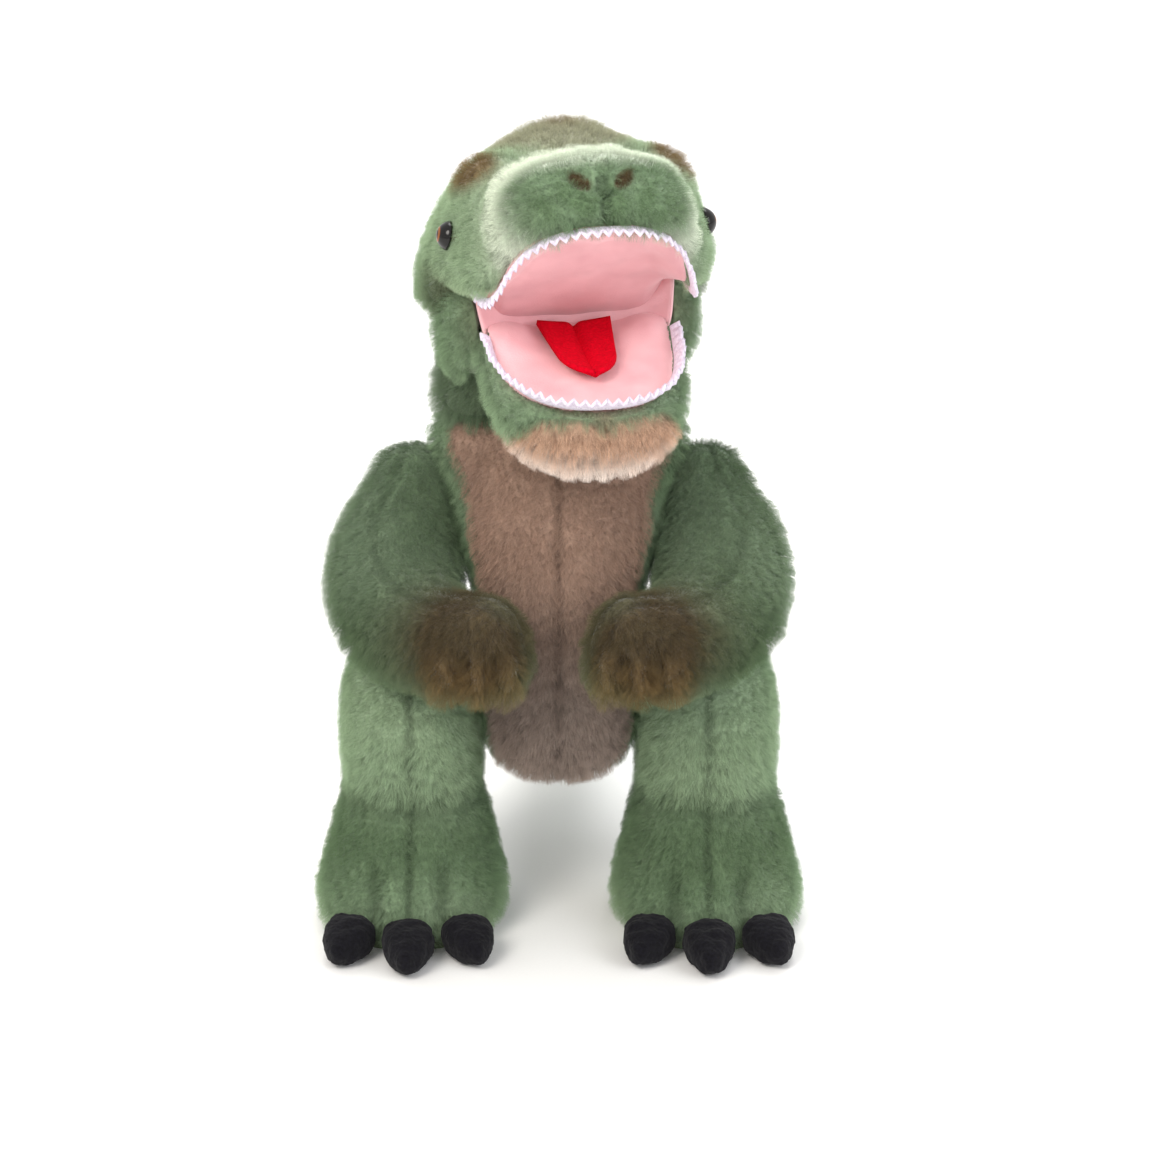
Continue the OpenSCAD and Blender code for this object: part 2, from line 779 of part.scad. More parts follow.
module claw_outer_right() { color(felt_black) claw(-1, claw_dx, 16, 0.86); }

// ---- tail ----------------------------------------------------------------

TAIL = [
    // share of reach, share of drop, share of thickness. The rounded root lies
    // ahead of the pivot, and its shares are of the root's own radius.
    [-0.843, -0.468, 0.12], [-0.808, -0.450, 0.32], [-0.674, -0.374, 0.63],
    [-0.413, -0.228, 0.87], [-0.087, -0.052, 0.99], [0.080, 0.085, 0.98],
    [0.210, 0.230, 0.86], [0.360, 0.390, 0.72], [0.520, 0.560, 0.57],
    [0.670, 0.710, 0.43], [0.810, 0.840, 0.31], [0.920, 0.930, 0.20],
    [0.980, 0.980, 0.13], [1.000, 1.000, 0.08]
];
last_tail = len(TAIL) - 1;

tail = function(i, t)
    let (
        r = TAIL[i],
        way = unit([0, tail_l, -tail_drop]),
        back = r[0] * (r[0] < 0 ? tail_r : tail_l),
        down = r[0] < 0 ? r[1] * tail_r : r[1] * tail_drop
    )
        on_ring([0, tail_y + back, tail_z - down],
                [1, 0, 0], cross([1, 0, 0], way), r[2] * tail_r, r[2] * tail_r,
                r[2] * tail_r, 2.05, 2.05, t);

module tail_panel(a, b) {
    place() panel(tail, last_tail, 0, last_tail, at(a), at(b), 9);
}
module tail_left() { color(fur) tail_panel(-90, 90); }
module tail_right() { color(fur) tail_panel(90, 270); }
module tail_filling() {
    color(fibre) place() filling(tail, last_tail, 1, last_tail - 2, 18);
}

belly_left();
belly_right();
back_left();
back_right();
torso_filling();
neck_left();
neck_right();
neck_filling();
muzzle_left();
muzzle_right();
cheek_left();
cheek_right();
crown_gusset();
head_filling();
palate_lining();
upper_teeth();
eye_left();
eye_right();
eye_washer_left();
eye_washer_right();
chin_panel();
jaw_side_left();
jaw_side_right();
jaw_filling();
jaw_lining();
lower_teeth();
tongue();
arm_outer_left();
arm_inner_left();
arm_filling_left();
arm_outer_right();
arm_inner_right();
arm_filling_right();
leg_outer_left();
leg_inner_left();
leg_filling_left();
sole_left();
claw_inner_left();
claw_middle_left();
claw_outer_left();
leg_outer_right();
leg_inner_right();
leg_filling_right();
sole_right();
claw_inner_right();
claw_middle_right();
claw_outer_right();
tail_left();
tail_right();
tail_filling();
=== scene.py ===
# %% [markdown]
# # A plush tyrannosaur
# A stuffed toy is a set of cloth bags, each filled with loose fibre and sewn to the
# next one. This lesson dresses the measured frame of such a toy: stuffed plush skins
# with their pile, a felt-toothed mouth with a brushed lining, domed eyes and claws.
# The frame already holds every piece at its true size and place, so each soft form
# here starts from the frame's own panels and never needs to be fitted by eye.

# %% Load the frame
import json
import math

import bmesh
import bpy
import numpy as np
from mathutils import Matrix, Vector
from mathutils.bvhtree import BVHTree


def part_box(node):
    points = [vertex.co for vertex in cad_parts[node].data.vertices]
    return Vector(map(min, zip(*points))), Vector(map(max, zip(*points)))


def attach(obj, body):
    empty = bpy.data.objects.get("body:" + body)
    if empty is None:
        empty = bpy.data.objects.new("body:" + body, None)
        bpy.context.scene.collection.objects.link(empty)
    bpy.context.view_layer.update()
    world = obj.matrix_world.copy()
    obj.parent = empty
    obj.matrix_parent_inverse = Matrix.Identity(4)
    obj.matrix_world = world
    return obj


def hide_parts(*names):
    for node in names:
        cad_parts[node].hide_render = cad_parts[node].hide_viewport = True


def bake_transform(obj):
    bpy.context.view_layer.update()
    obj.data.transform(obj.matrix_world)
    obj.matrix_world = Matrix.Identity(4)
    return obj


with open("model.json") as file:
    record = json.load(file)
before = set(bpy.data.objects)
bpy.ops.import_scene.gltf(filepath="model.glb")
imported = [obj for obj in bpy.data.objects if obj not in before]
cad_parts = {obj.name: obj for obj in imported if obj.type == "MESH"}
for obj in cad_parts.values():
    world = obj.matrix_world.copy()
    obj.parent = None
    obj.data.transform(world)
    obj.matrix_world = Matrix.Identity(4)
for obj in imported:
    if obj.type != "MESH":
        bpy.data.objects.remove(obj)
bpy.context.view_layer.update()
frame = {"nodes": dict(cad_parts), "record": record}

MM = 0.001
joints = {joint["name"]: joint for joint in frame["record"]["behaviour"]["joints"]}

# %% [markdown]
# ## Directions inside the head
# The head is turned a little and its palate slopes steeply, so lips, nostrils and
# tongue are easiest to place in the mouth's own directions: across, forward along the
# palate or the lower jaw, and up from it. The mouth's hinge is the origin, because
# both jaws are measured from it.

# %% Mouth directions
TURN = math.radians(12)
PALATE_SLOPE = math.radians(43)
JAW_SLOPE = math.radians(-15)
hinge = np.array(joints["jaw_close"]["pos_m"])
across = np.array([math.cos(TURN), math.sin(TURN), 0.0])
ahead_level = np.array([math.sin(TURN), -math.cos(TURN), 0.0])
upright = np.array([0.0, 0.0, 1.0])


def mouth_axes(slope):
    forward = ahead_level * math.cos(slope) + upright * math.sin(slope)
    above = upright * math.cos(slope) - ahead_level * math.sin(slope)
    return across, forward, above


def in_mouth(points, slope):
    """Points as (across, forward, above) of the hinge, in mm."""
    return np.stack([(points - hinge) @ axis / MM for axis in mouth_axes(slope)], axis=-1)


def from_mouth(local, slope):
    axes = np.stack(mouth_axes(slope))
    return hinge + np.asarray(local, float) * MM @ axes


print("mouth hinge in mm:", np.round(hinge / MM, 1))

# %% [markdown]
# ## The lips
# Each lip follows half of a rounded square, in mm across and forward of the hinge.
# Outside the line there is plush, inside it there is lining, and the felt teeth stand
# on it. The upper lip also hangs a little at the sides, as a soft muzzle does.

# %% Lip lines
UPPER_LIP = {"half_width": 37.0, "back": 12.6, "front": 77.6}
LOWER_LIP = {"half_width": 32.4, "back": 12.8, "front": 60.6}


def beyond_lip(across_mm, forward_mm, half_width, back, front):
    """About how far outside the lip's line a point lies, in mm. Negative is inside."""
    forward_share = np.maximum(forward_mm - back, 0) / (front - back)
    reach = (np.abs(across_mm) / half_width) ** 2.5 + forward_share**2.5
    return (reach**0.4 - 1) * half_width


print("lip lines in mm:", UPPER_LIP, LOWER_LIP)

# %% [markdown]
# ## Colours
# A dyer works from swatches, and swatches are usually written as sRGB hex values.
# Light adds up in linear values, so one function turns every swatch to linear.

# %% Swatches
def linear(hex_colour):
    channels = [int(hex_colour[k : k + 2], 16) / 255 for k in (1, 3, 5)]
    return tuple(c / 12.92 if c <= 0.04045 else ((c + 0.055) / 1.055) ** 2.4 for c in channels)


def rgba(hex_colour):
    return (*linear(hex_colour), 1.0)


GREEN = np.array(linear("#829a78"))
GREEN_DARK = np.array(linear("#647d58"))
GREEN_LIGHT = np.array(linear("#a3b896"))
GREEN_PALE = np.array(linear("#c6d3ba"))
PALE_TIPS_AND_LIGHT = np.array(linear("#dfe6d4"))
BROWN_SPRAY = np.array(linear("#735a33"))
BELLY = np.array(linear("#a98b78"))
BELLY_LOW = np.array(linear("#8f7f74"))
CHIN = np.array(linear("#c9a68c"))
CHIN_EDGE = np.array(linear("#ece0d6"))
SHADOW_BROWN = np.array(linear("#4c4a34"))
PALATE_PINK = np.array(linear("#cf989c"))
SEAM_SHADE = 0.55
print("plush green in linear light:", np.round(GREEN, 3))


# %% [markdown]
# ## Stuffed forms
# A real plush part is cut flat, sewn inside out, turned and stuffed. Its surface ends
# up crowned and even, with a shallow valley along each seam. Here the frame's panels
# for one part are welded into a single closed form with a voxel remesh, relaxed so
# that the facets are gone, and then pulled in by the thickness of the lying pile.
# Fibre would fill the same outline, so no cloth simulation is needed for the volume.

# %% Weld panels into a stuffed form
def joined(name, nodes):
    mesh = bpy.data.meshes.new(name)
    build = bmesh.new()
    for node in nodes:
        build.from_mesh(frame["nodes"][node].data)
    build.to_mesh(mesh)
    build.free()
    piece = bpy.data.objects.new(name, mesh)
    bpy.context.scene.collection.objects.link(piece)
    return piece


def apply_modifiers(piece):
    graph = bpy.context.evaluated_depsgraph_get()
    baked = bpy.data.meshes.new_from_object(piece.evaluated_get(graph))
    piece.modifiers.clear()
    piece.data = baked


def keep_outer_shell(piece):
    """A weld of nested panels can leave bubbles inside. The largest shell is kept."""
    build = bmesh.new()
    build.from_mesh(piece.data)
    build.verts.ensure_lookup_table()
    seen, shells = set(), []
    for start in build.verts:
        if start.index in seen:
            continue
        stack, shell = [start], []
        seen.add(start.index)
        while stack:
            vert = stack.pop()
            shell.append(vert)
            for edge in vert.link_edges:
                other = edge.other_vert(vert)
                if other.index not in seen:
                    seen.add(other.index)
                    stack.append(other)
        shells.append(shell)
    shells.sort(key=len)
    loose = [vert for shell in shells[:-1] for vert in shell]
    bmesh.ops.delete(build, geom=loose, context="VERTS")
    build.to_mesh(piece.data)
    build.free()
    return len(shells)


def coordinates(piece):
    points = np.empty(len(piece.data.vertices) * 3)
    piece.data.vertices.foreach_get("co", points)
    return points.reshape(-1, 3)


def normals(piece):
    directions = np.empty(len(piece.data.vertices) * 3)
    piece.data.vertices.foreach_get("normal", directions)
    return directions.reshape(-1, 3)


def move_points(piece, points):
    piece.data.vertices.foreach_set("co", np.asarray(points, float).ravel())
    piece.data.update()


def stuffed(name, nodes, voxel, inset, relax=8):
    piece = joined(name, nodes)
    weld = piece.modifiers.new("weld", "REMESH")
    weld.mode = "VOXEL"
    weld.voxel_size = voxel * MM
    even = piece.modifiers.new("even", "SMOOTH")
    even.factor = 0.5
    even.iterations = relax
    apply_modifiers(piece)
    shells = keep_outer_shell(piece)
    finer = piece.modifiers.new("finer", "SUBSURF")
    finer.levels = 1
    finer.render_levels = 1
    apply_modifiers(piece)
    move_points(piece, coordinates(piece) - normals(piece) * inset * MM)
    piece.data.shade_smooth()
    print(f"{name}: {len(piece.data.vertices)} points, {shells} shell(s) welded")
    return piece


# %% [markdown]
# ## Seams, dimples and bumps
# A seam is a soft valley whose depth fades with distance from the stitch line. A
# dimple or a padded brow is the same idea round a point. Writing both as smooth
# bell-shaped moves along the surface direction keeps the cloth free of hard edges.

# %% Shaping helpers
def bell(distance, width):
    return np.exp(-((distance / width) ** 2))


def smooth_step(value, low, high):
    share = np.clip((value - low) / (high - low), 0, 1)
    return share * share * (3 - 2 * share)


def press(piece, depth_mm):
    """Moves each point inward by its own depth, or outward where that is negative."""
    move_points(piece, coordinates(piece) - normals(piece) * depth_mm[:, None] * MM)


def hang_lip(piece):
    """Lets the sides of the upper lip hang by a few millimetres."""
    points = coordinates(piece)
    a, f, u = in_mouth(points, PALATE_SLOPE).T
    sides = smooth_step(np.abs(a), 12, 28)
    drop = 5.0 * smooth_step(f, 20, 42) + (6.0 * bell(f - 46, 15) - 7.5 * bell(f - 14, 10)) * sides
    drop = drop * smooth_step(beyond_lip(a, f, **UPPER_LIP), -13, -1)
    drop = drop * (1 - smooth_step(u, 4, 34))
    points = points - mouth_axes(PALATE_SLOPE)[2] * (drop * MM)[:, None]
    move_points(piece, points)


def lift_corners(piece):
    """Lets the lower lip rise towards the corners of the mouth."""
    points = coordinates(piece)
    a, f, u = in_mouth(points, JAW_SLOPE).T
    rise = 5.5 * bell(f - 12, 12) * smooth_step(np.abs(a), 12, 28) * smooth_step(u, -22, -4)
    points = points + mouth_axes(JAW_SLOPE)[2] * (rise * MM)[:, None]
    move_points(piece, points)


def mottle(points, size_mm, seed):
    """Smooth random values from -1 to 1 that vary over about size_mm."""
    rng = np.random.default_rng(seed)
    total = np.zeros(len(points))
    for _ in range(14):
        wave = rng.normal(size=3)
        wave *= 2 * math.pi / (size_mm * MM) / np.linalg.norm(wave) * rng.uniform(0.7, 1.4)
        total += np.sin(points @ wave + rng.uniform(0, 6.28))
    return np.clip(total / 5.0, -1, 1)


def distance_to(points, *nodes):
    """How far each point lies from the nearest of these panels of the frame, in mm."""
    corners, faces = [], []
    for node in nodes:
        mesh = frame["nodes"][node].data
        first = len(corners)
        corners += [vert.co.copy() for vert in mesh.vertices]
        faces += [[first + k for k in face.vertices] for face in mesh.polygons]
    tree = BVHTree.FromPolygons(corners, faces)
    return np.array([tree.find_nearest(Vector(point))[3] for point in points]) / MM


def seam_between(points, first, second):
    """Distance to the seam that joins two groups of panels, in mm, negative in the first."""
    return distance_to(points, *first) - distance_to(points, *second)


def mix(first, second, share):
    return first + (second - first) * np.clip(share, 0, 1)[:, None]


def dye(piece, colours):
    """Stores one colour for each point, the dye with its painted shade, which skin and pile both read.
    """
    layer = piece.data.color_attributes.new("dye", "BYTE_COLOR", "CORNER")
    corners = np.empty(len(piece.data.loops), dtype=int)
    piece.data.loops.foreach_get("vertex_index", corners)
    full = np.concatenate([np.clip(colours, 0, 1), np.ones((len(colours), 1))], axis=1)
    layer.data.foreach_set("color", full[corners].astype(np.float32).ravel())


# %% [markdown]
# ## Pile plush
# Plush is a knitted polyester backing with tufts of crimped fibre about five
# millimetres long. Each fibre's colour is painted darker at its root, as shade where
# little light reaches, and paler at its tip. The eye reads the depth of the pile from
# that change, from the small tufts that the fibres gather in, and from a soft sheen at
# grazing angles. The backing is one material and the fibres are another, and both take
# the stored colour: the dye with its painted shade.

# %% Node helper
def add(tree, kind, settings=None, links=None):
    """Adds a node, sets its own settings and sockets, and links sockets to outputs."""
    node = tree.nodes.new(kind)
    for key, value in (settings or {}).items():
        if key in node.inputs:
            node.inputs[key].default_value = value
        else:
            setattr(node, key, value)
    for key, output in (links or {}).items():
        tree.links.new(output, node.inputs[key])
    return node


def new_material(name, **surface):
    material = bpy.data.materials.new(name)
    material.use_nodes = True
    tree = material.node_tree
    shader = tree.nodes["Principled BSDF"]
    for key, value in surface.items():
        shader.inputs[key.replace("_", " ")].default_value = value
    return material, tree, shader


# %% Plush backing
def plush_backing():
    material, tree, shader = new_material(
        "plush_backing_polyester_knit", Roughness=0.95, Sheen_Weight=0.25, Sheen_Roughness=0.5
    )
    dyed = add(tree, "ShaderNodeVertexColor", {"layer_name": "dye"})
    place = add(tree, "ShaderNodeTexCoord")
    tufts = add(tree, "ShaderNodeTexNoise", {"Scale": 420.0, "Detail": 3.0, "Roughness": 0.6},
                {"Vector": place.outputs["Object"]})
    clumps = add(tree, "ShaderNodeTexVoronoi", {"Scale": 260.0},
                 {"Vector": place.outputs["Object"]})
    shade = add(tree, "ShaderNodeMapRange", {"From Min": 0.3, "From Max": 0.75,
                "To Min": 0.72, "To Max": 1.12}, {"Value": tufts.outputs["Fac"]})
    tinted = add(tree, "ShaderNodeVectorMath", {"operation": "SCALE"},
                 {"Vector": dyed.outputs["Color"], "Scale": shade.outputs["Result"]})
    tree.links.new(tinted.outputs["Vector"], shader.inputs["Base Color"])
    height = add(tree, "ShaderNodeMath", {"operation": "ADD"},
                 {0: tufts.outputs["Fac"], 1: clumps.outputs["Distance"]})
    bump = add(tree, "ShaderNodeBump", {"Strength": 0.7, "Distance": 0.0012},
               {"Height": height.outputs["Value"]})
    tree.links.new(bump.outputs["Normal"], shader.inputs["Normal"])
    return material


BACKING = plush_backing()


# %% Plush pile
def plush_pile():
    material, tree, shader = new_material(
        "plush_pile_polyester_fibre", Roughness=0.75, Specular_IOR_Level=0.18,
        Sheen_Weight=0.3, Sheen_Roughness=0.4
    )
    dyed = add(tree, "ShaderNodeVertexColor", {"layer_name": "dye"})
    fibre = add(tree, "ShaderNodeHairInfo")
    # Painted shade in the pile: the colour runs from 0.62 of the dye at the root to 1.3 at the tip.
    lift = add(tree, "ShaderNodeMapRange", {"From Min": 0.0, "From Max": 1.0,
               "To Min": 0.62, "To Max": 1.3}, {"Value": fibre.outputs["Intercept"]})
    vary = add(tree, "ShaderNodeMapRange", {"From Min": 0.0, "From Max": 1.0,
               "To Min": 0.86, "To Max": 1.14}, {"Value": fibre.outputs["Random"]})
    level = add(tree, "ShaderNodeMath", {"operation": "MULTIPLY"},
                {0: lift.outputs["Result"], 1: vary.outputs["Result"]})
    tinted = add(tree, "ShaderNodeVectorMath", {"operation": "SCALE"},
                 {"Vector": dyed.outputs["Color"], "Scale": level.outputs["Value"]})
    tree.links.new(tinted.outputs["Vector"], shader.inputs["Base Color"])
    return material


PILE = plush_pile()
print("materials:", BACKING.name, "and", PILE.name)


# %% [markdown]
# ## Growing the pile
# Hair particles are the simplest way to grow real fibres from a mesh, and they follow
# the piece when it moves. A few thousand guide fibres carry many children each. The
# guides lean over in the direction the cloth was brushed, and the children gather in
# small tufts. Real plush has some 15 to 20 fibres on a square millimetre, each 0.02 mm
# thick. Four are drawn, 0.15 mm thick at the root, because finer ones would not show.

# %% Grow pile on a piece
def area_mm2(piece, keep=None):
    total = 0.0
    for face in piece.data.polygons:
        if keep is None or keep[face.vertices[0]] > 0.5:
            total += face.area
    return total / MM**2


def grow_pile(piece, length, lean, seed, share=None, per_mm2=4.0, tuft=0.12):
    """length in mm, lean the brushing direction in mm, share where pile grows."""
    piece.data.materials.clear()
    piece.data.materials.append(BACKING)
    piece.data.materials.append(PILE)
    count = int(area_mm2(piece, share) * per_mm2)
    fibres_per_guide = 30
    system = piece.modifiers.new("pile", "PARTICLE_SYSTEM").particle_system
    system.seed = seed
    pile = system.settings
    pile.name = piece.name + "_pile"
    pile.type = "HAIR"
    pile.use_advanced_hair = True
    pile.count = max(count // fibres_per_guide, 50)
    pile.hair_step = 4
    pile.hair_length = length * MM
    pile.object_align_factor = [v * MM / 4 for v in lean]
    pile.factor_random = 0.06 * length * MM
    pile.use_even_distribution = True
    pile.emit_from = "FACE"
    pile.child_type = "INTERPOLATED"
    pile.child_percent = 1
    pile.rendered_child_count = fibres_per_guide
    pile.clump_factor = tuft
    pile.clump_shape = -0.2
    pile.roughness_1 = 0.0006
    pile.roughness_1_size = 0.004
    pile.roughness_2 = 0.0012
    pile.roughness_2_size = 0.3
    pile.roughness_endpoint = 0.0010
    pile.child_length = 1.0
    pile.root_radius = 0.075
    pile.tip_radius = 0.025
    pile.radius_scale = MM
    pile.shape = 0.0
    pile.display_step = 2
    pile.render_step = 3
    pile.material = 2
    if share is not None:
        group = piece.vertex_groups.new(name="where_pile_grows")
        for value in np.unique(np.round(share, 1)):
            chosen = np.nonzero(np.round(share, 1) == value)[0]
            group.add([int(v) for v in chosen], float(value), "REPLACE")
        system.vertex_group_density = group.name
        system.vertex_group_length = group.name
    print(f"{piece.name}: about {count} fibres of {length} mm")


# %% [markdown]
# ## Dressing the frame
# A finished form takes the place of the frame's own panels and filling, and moves
# with one body. The lying pile is about 1.6 mm thick, so the cloth starts that far
# inside the frame's outline.

# %% Dress a piece
def dress(piece, body, nodes):
    """Hides the frame's nodes that the finished piece replaces, and attaches it to the body it moves
    with.
    """
    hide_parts(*nodes)
    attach(piece, body)
    return piece


INSET = 1.6
hand_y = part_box("arm_outer_left")[0][1] / MM
print(f"the hands reach {-hand_y:.0f} mm forward of the middle")


# %% [markdown]
# ## Dyeing the cloth and painting its shade
# Plush is dyed before it is cut, never quite evenly, so the green drifts a little over
# a few centimetres. The stitched valleys look darker, because light hardly gets in, so
# shade is painted into them, and into creases and dimples.

# %% Dye and painted seam shade
def shade_and_store_colours(piece, colour, shade_masks):
    """Paints shade into each seam, crease and dimple in the masks, then stores the colours."""
    shade = np.ones(len(colour))
    for seam in shade_masks:
        shade *= 1 - (1 - SEAM_SHADE) * seam
    dye(piece, colour * shade[:, None])


def green_cloth(points, seed, light=0.35):
    colour = mix(GREEN[None, :], GREEN_DARK[None, :], 0.5 + 0.5 * mottle(points, 55, seed))
    return mix(colour, GREEN_LIGHT[None, :], light * (0.5 + 0.5 * mottle(points, 35, seed + 1)))


# %% [markdown]
# ## Torso
# The trunk is an upright bag. Its front is a brown belly of two panels with one seam
# down the middle, which pulls into a small tuck at the height of the hands. The back
# and flanks are green. The seams are found from the frame's own panels: a point lies
# on a seam where it is equally far from the panels on both sides.

# %% Torso
BELLY_PANELS = ["belly_left", "belly_right"]
BACK_PANELS = ["back_left", "back_right"]
torso = stuffed("torso_plush", BELLY_PANELS + BACK_PANELS + ["torso_filling"], 2.2, INSET)
points = coordinates(torso)
x, y, z = (points / MM).T
side = seam_between(points, BELLY_PANELS, BACK_PANELS)
belly_seam = bell(x, 1.5) * (side < 0)
back_seam = bell(x, 1.5) * (side > 0)
tuck = bell(np.hypot(x, z - 119), 4.5) * (side < 0)
press(torso, 1.6 * belly_seam + 0.8 * bell(side, 2.0) + 1.2 * tuck + 0.8 * back_seam)
shoulder = bell(z - 177, 12) * bell(y - joints["shoulder_left"]["pos_m"][1] / MM, 20)
points = coordinates(torso)
points[:, 0] += np.sign(x) * smooth_step(np.abs(x), 18, 34) * shoulder * 8.5 * MM
points[:, 2] += 7.0 * bell(z - z.min(), 17) * MM
move_points(torso, points)
brown = mix(BELLY[None, :], BELLY_LOW[None, :], smooth_step(-z, -150, -90))
brown = brown * (1 + 0.07 * mottle(points, 18, 5))[:, None]
colour = mix(brown, green_cloth(points, 3), smooth_step(side, -0.6, 0.6))
colour = mix(colour, BROWN_SPRAY[None, :], 0.5 * bell(x, 13) * smooth_step(y, -10, 4) * (side > 0))
shade_and_store_colours(torso, colour, [0.8 * bell(x, 0.9), 0.5 * bell(side, 1.0), 0.6 * tuck])
grow_pile(torso, length=4.4, lean=(0, 0, -3.2), seed=11)
dress(torso, "torso", BELLY_PANELS + BACK_PANELS + ["torso_filling"])

# %% [markdown]
# ## Neck
# The neck is a short stub with a rounded top, which the back of the head sits on like
# a cap. Its two panels meet at the front and at the back. The pile of the head hangs
# over it, so the joint doesn't show.

# %% Neck
NECK_PANELS = ["neck_left", "neck_right"]
neck = stuffed("neck_plush", NECK_PANELS + ["neck_filling"], 2.0, INSET)
points = coordinates(neck)
across_neck = in_mouth(points, 0)[:, 0]
flare = smooth_step(-points[:, 2] / MM, -212, -190) * smooth_step(np.abs(across_neck), 20, 38)
press(neck, 0.8 * bell(across_neck, 1.6) - 3.5 * flare)
# Painted shade: the neck sits under the head, so its whole green is painted at 0.6 brightness.
colour = green_cloth(points, 21) * 0.6
behind = smooth_step(points[:, 1] / MM, -25, -10)
colour = mix(colour, BROWN_SPRAY[None, :], 0.5 * bell(across_neck, 13) * behind)
shade_and_store_colours(neck, colour, [0.5 * bell(across_neck, 0.9)])
grow_pile(neck, length=5.0, lean=(0, 0, -2.6), seed=12)
dress(neck, "neck", NECK_PANELS + ["neck_filling"])

# %% [markdown]
# ## Head
# The head has a padded muzzle of two panels with a seam over the nose, two cheeks that
# carry the eyes, and a gusset over the crown. Two pads make the brows. The brows, the
# nostrils and the crown are sprayed brown after sewing, so their edges are soft. No
# pile grows under the lip, where the pink lining is.

# %% Head
MUZZLE = ["muzzle_left", "muzzle_right"]
CHEEKS = ["cheek_left", "cheek_right"]
HEAD_PARTS = MUZZLE + CHEEKS + ["crown_gusset", "palate_lining", "head_filling"]
HEAD_NODES = MUZZLE + CHEEKS + ["crown_gusset", "head_filling", "eye_washer_left", "eye_washer_right"]
head = stuffed("head_plush", HEAD_PARTS, 1.7, INSET)
points = coordinates(head)
a, f, u = in_mouth(points, PALATE_SLOPE).T
muzzle_edge = seam_between(points, MUZZLE, CHEEKS + ["crown_gusset"])
gusset_edge = seam_between(points, ["crown_gusset"], CHEEKS)
inside_lip = smooth_step(-beyond_lip(a, f, **UPPER_LIP), 0.8, 2.0)
skin = 1 - inside_lip * (u < 14) * (f > -1)
brow = bell(np.sqrt((np.abs(a) - 33) ** 2 + ((f - 43) / 1.5) ** 2 + (u - 36) ** 2), 9.0)
nostril = bell(np.sqrt((np.abs(a) - 7.8 - 0.5 * (u - 14)) ** 2 + (u - 14) ** 2), 3.3) * (f > 60)
nose_seam = bell(a, 1.4) * smooth_step(f, 55, 70) * (u < 15) * skin
pads = bell(np.sqrt((np.abs(a) - 17) ** 2 + (f - 72) ** 2 + (u - 9) ** 2), 11)
depth = 1.8 * nose_seam + 1.8 * nostril - 5.5 * brow - 2.2 * pads * skin
depth += skin * (2.0 * bell(muzzle_edge - 1, 3.0) + 0.6 * bell(gusset_edge, 2.0))
depth += 6.0 * bell(np.sqrt((f - 70) ** 2 + (u - 36) ** 2), 15) * bell(a, 34)
depth -= 3.5 * bell(np.sqrt(a**2 + (f - 34) ** 2), 17) * (u > 35)
press(head, depth)
hang_lip(head)
in_muzzle = smooth_step(-muzzle_edge, -3, 3)
colour = green_cloth(points, 31)
muzzle_front = mix(GREEN_DARK[None, :], GREEN[None, :], 0.3 + 0.5 * mottle(points, 9, 33))
colour = mix(colour, muzzle_front, in_muzzle)
colour = mix(colour, GREEN_LIGHT[None, :], 0.75 * (1 - in_muzzle) * smooth_step(f, -5, 25))
# Painted light: a pale band inside the muzzle's edge and over its top, where the light falls, partly
# the plush's pale fibre tips.
colour = mix(colour, PALE_TIPS_AND_LIGHT[None, :], 0.9 * bell(muzzle_edge + 7, 9))
colour = mix(colour, PALE_TIPS_AND_LIGHT[None, :], 0.85 * in_muzzle * smooth_step(u, 17, 25))
# Painted shadow on the cheek behind each corner of the mouth.
cheek_front = bell(np.sqrt((f - 8) ** 2 + (u - 3) ** 2), 11) * (1 - in_muzzle)
colour = mix(colour, SHADOW_BROWN[None, :], 0.7 * cheek_front)
crown = bell(np.sqrt(a**2 + ((f - 32) / 1.2) ** 2 + (u - 62) ** 2), 24)
crown_tan = mix(BROWN_SPRAY[None, :], GREEN_PALE[None, :], 0.42 + 0 * a)
colour = mix(colour, crown_tan, 0.95 * smooth_step(crown, 0.08, 0.4))
colour = mix(colour, BROWN_SPRAY[None, :], 0.7 * bell(np.sqrt(a**2 + (f - 34) ** 2), 7) * crown)
colour = mix(colour, BROWN_SPRAY[None, :], 0.95 * smooth_step(brow, 0.25, 0.75))
colour = mix(colour, BROWN_SPRAY[None, :] * 0.5, smooth_step(nostril, 0.2, 0.5))
colour = mix(colour, BROWN_SPRAY[None, :], 0.5 * bell(a, 12) * smooth_step(-f, -10, 25))
colour = mix(colour, PALATE_PINK[None, :], 1 - skin)
shade_and_store_colours(head, colour, [0.9 * nose_seam, 0.4 * bell(muzzle_edge - 1, 1.5)])
grow_pile(head, length=4.4, lean=(0, 0.9, -1.6), seed=13, share=skin)
dress(head, "head", HEAD_NODES)

# %% [markdown]
# ## Lower jaw
# The lower jaw is a shallow bag. Its chin is tan, with a paler fringe along the lower
# edge, and its sides are green like the cheeks. The top is left bare for the lining.

# %% Lower jaw
JAW_SIDES = ["jaw_side_left", "jaw_side_right"]
jaw = stuffed("jaw_plush", JAW_SIDES + ["chin_panel", "jaw_lining", "jaw_filling"], 1.5, INSET)
points = coordinates(jaw)
a, f, u = in_mouth(points, JAW_SLOPE).T
inside_lip = smooth_step(-beyond_lip(a, f, **LOWER_LIP), 0.8, 2.0)
skin = 1 - inside_lip * (u > -6)
chin_edge = seam_between(points, ["chin_panel"], JAW_SIDES)
press(jaw, skin * 0.7 * bell(chin_edge, 1.8))
lift_corners(jaw)
chin = mix(CHIN[None, :], CHIN_EDGE[None, :], smooth_step(-u, 13, 25))
chin = chin * (1 + 0.1 * mottle(points, 7, 43))[:, None]
colour = mix(chin, green_cloth(points, 41), smooth_step(chin_edge, -1.5, 1.5))
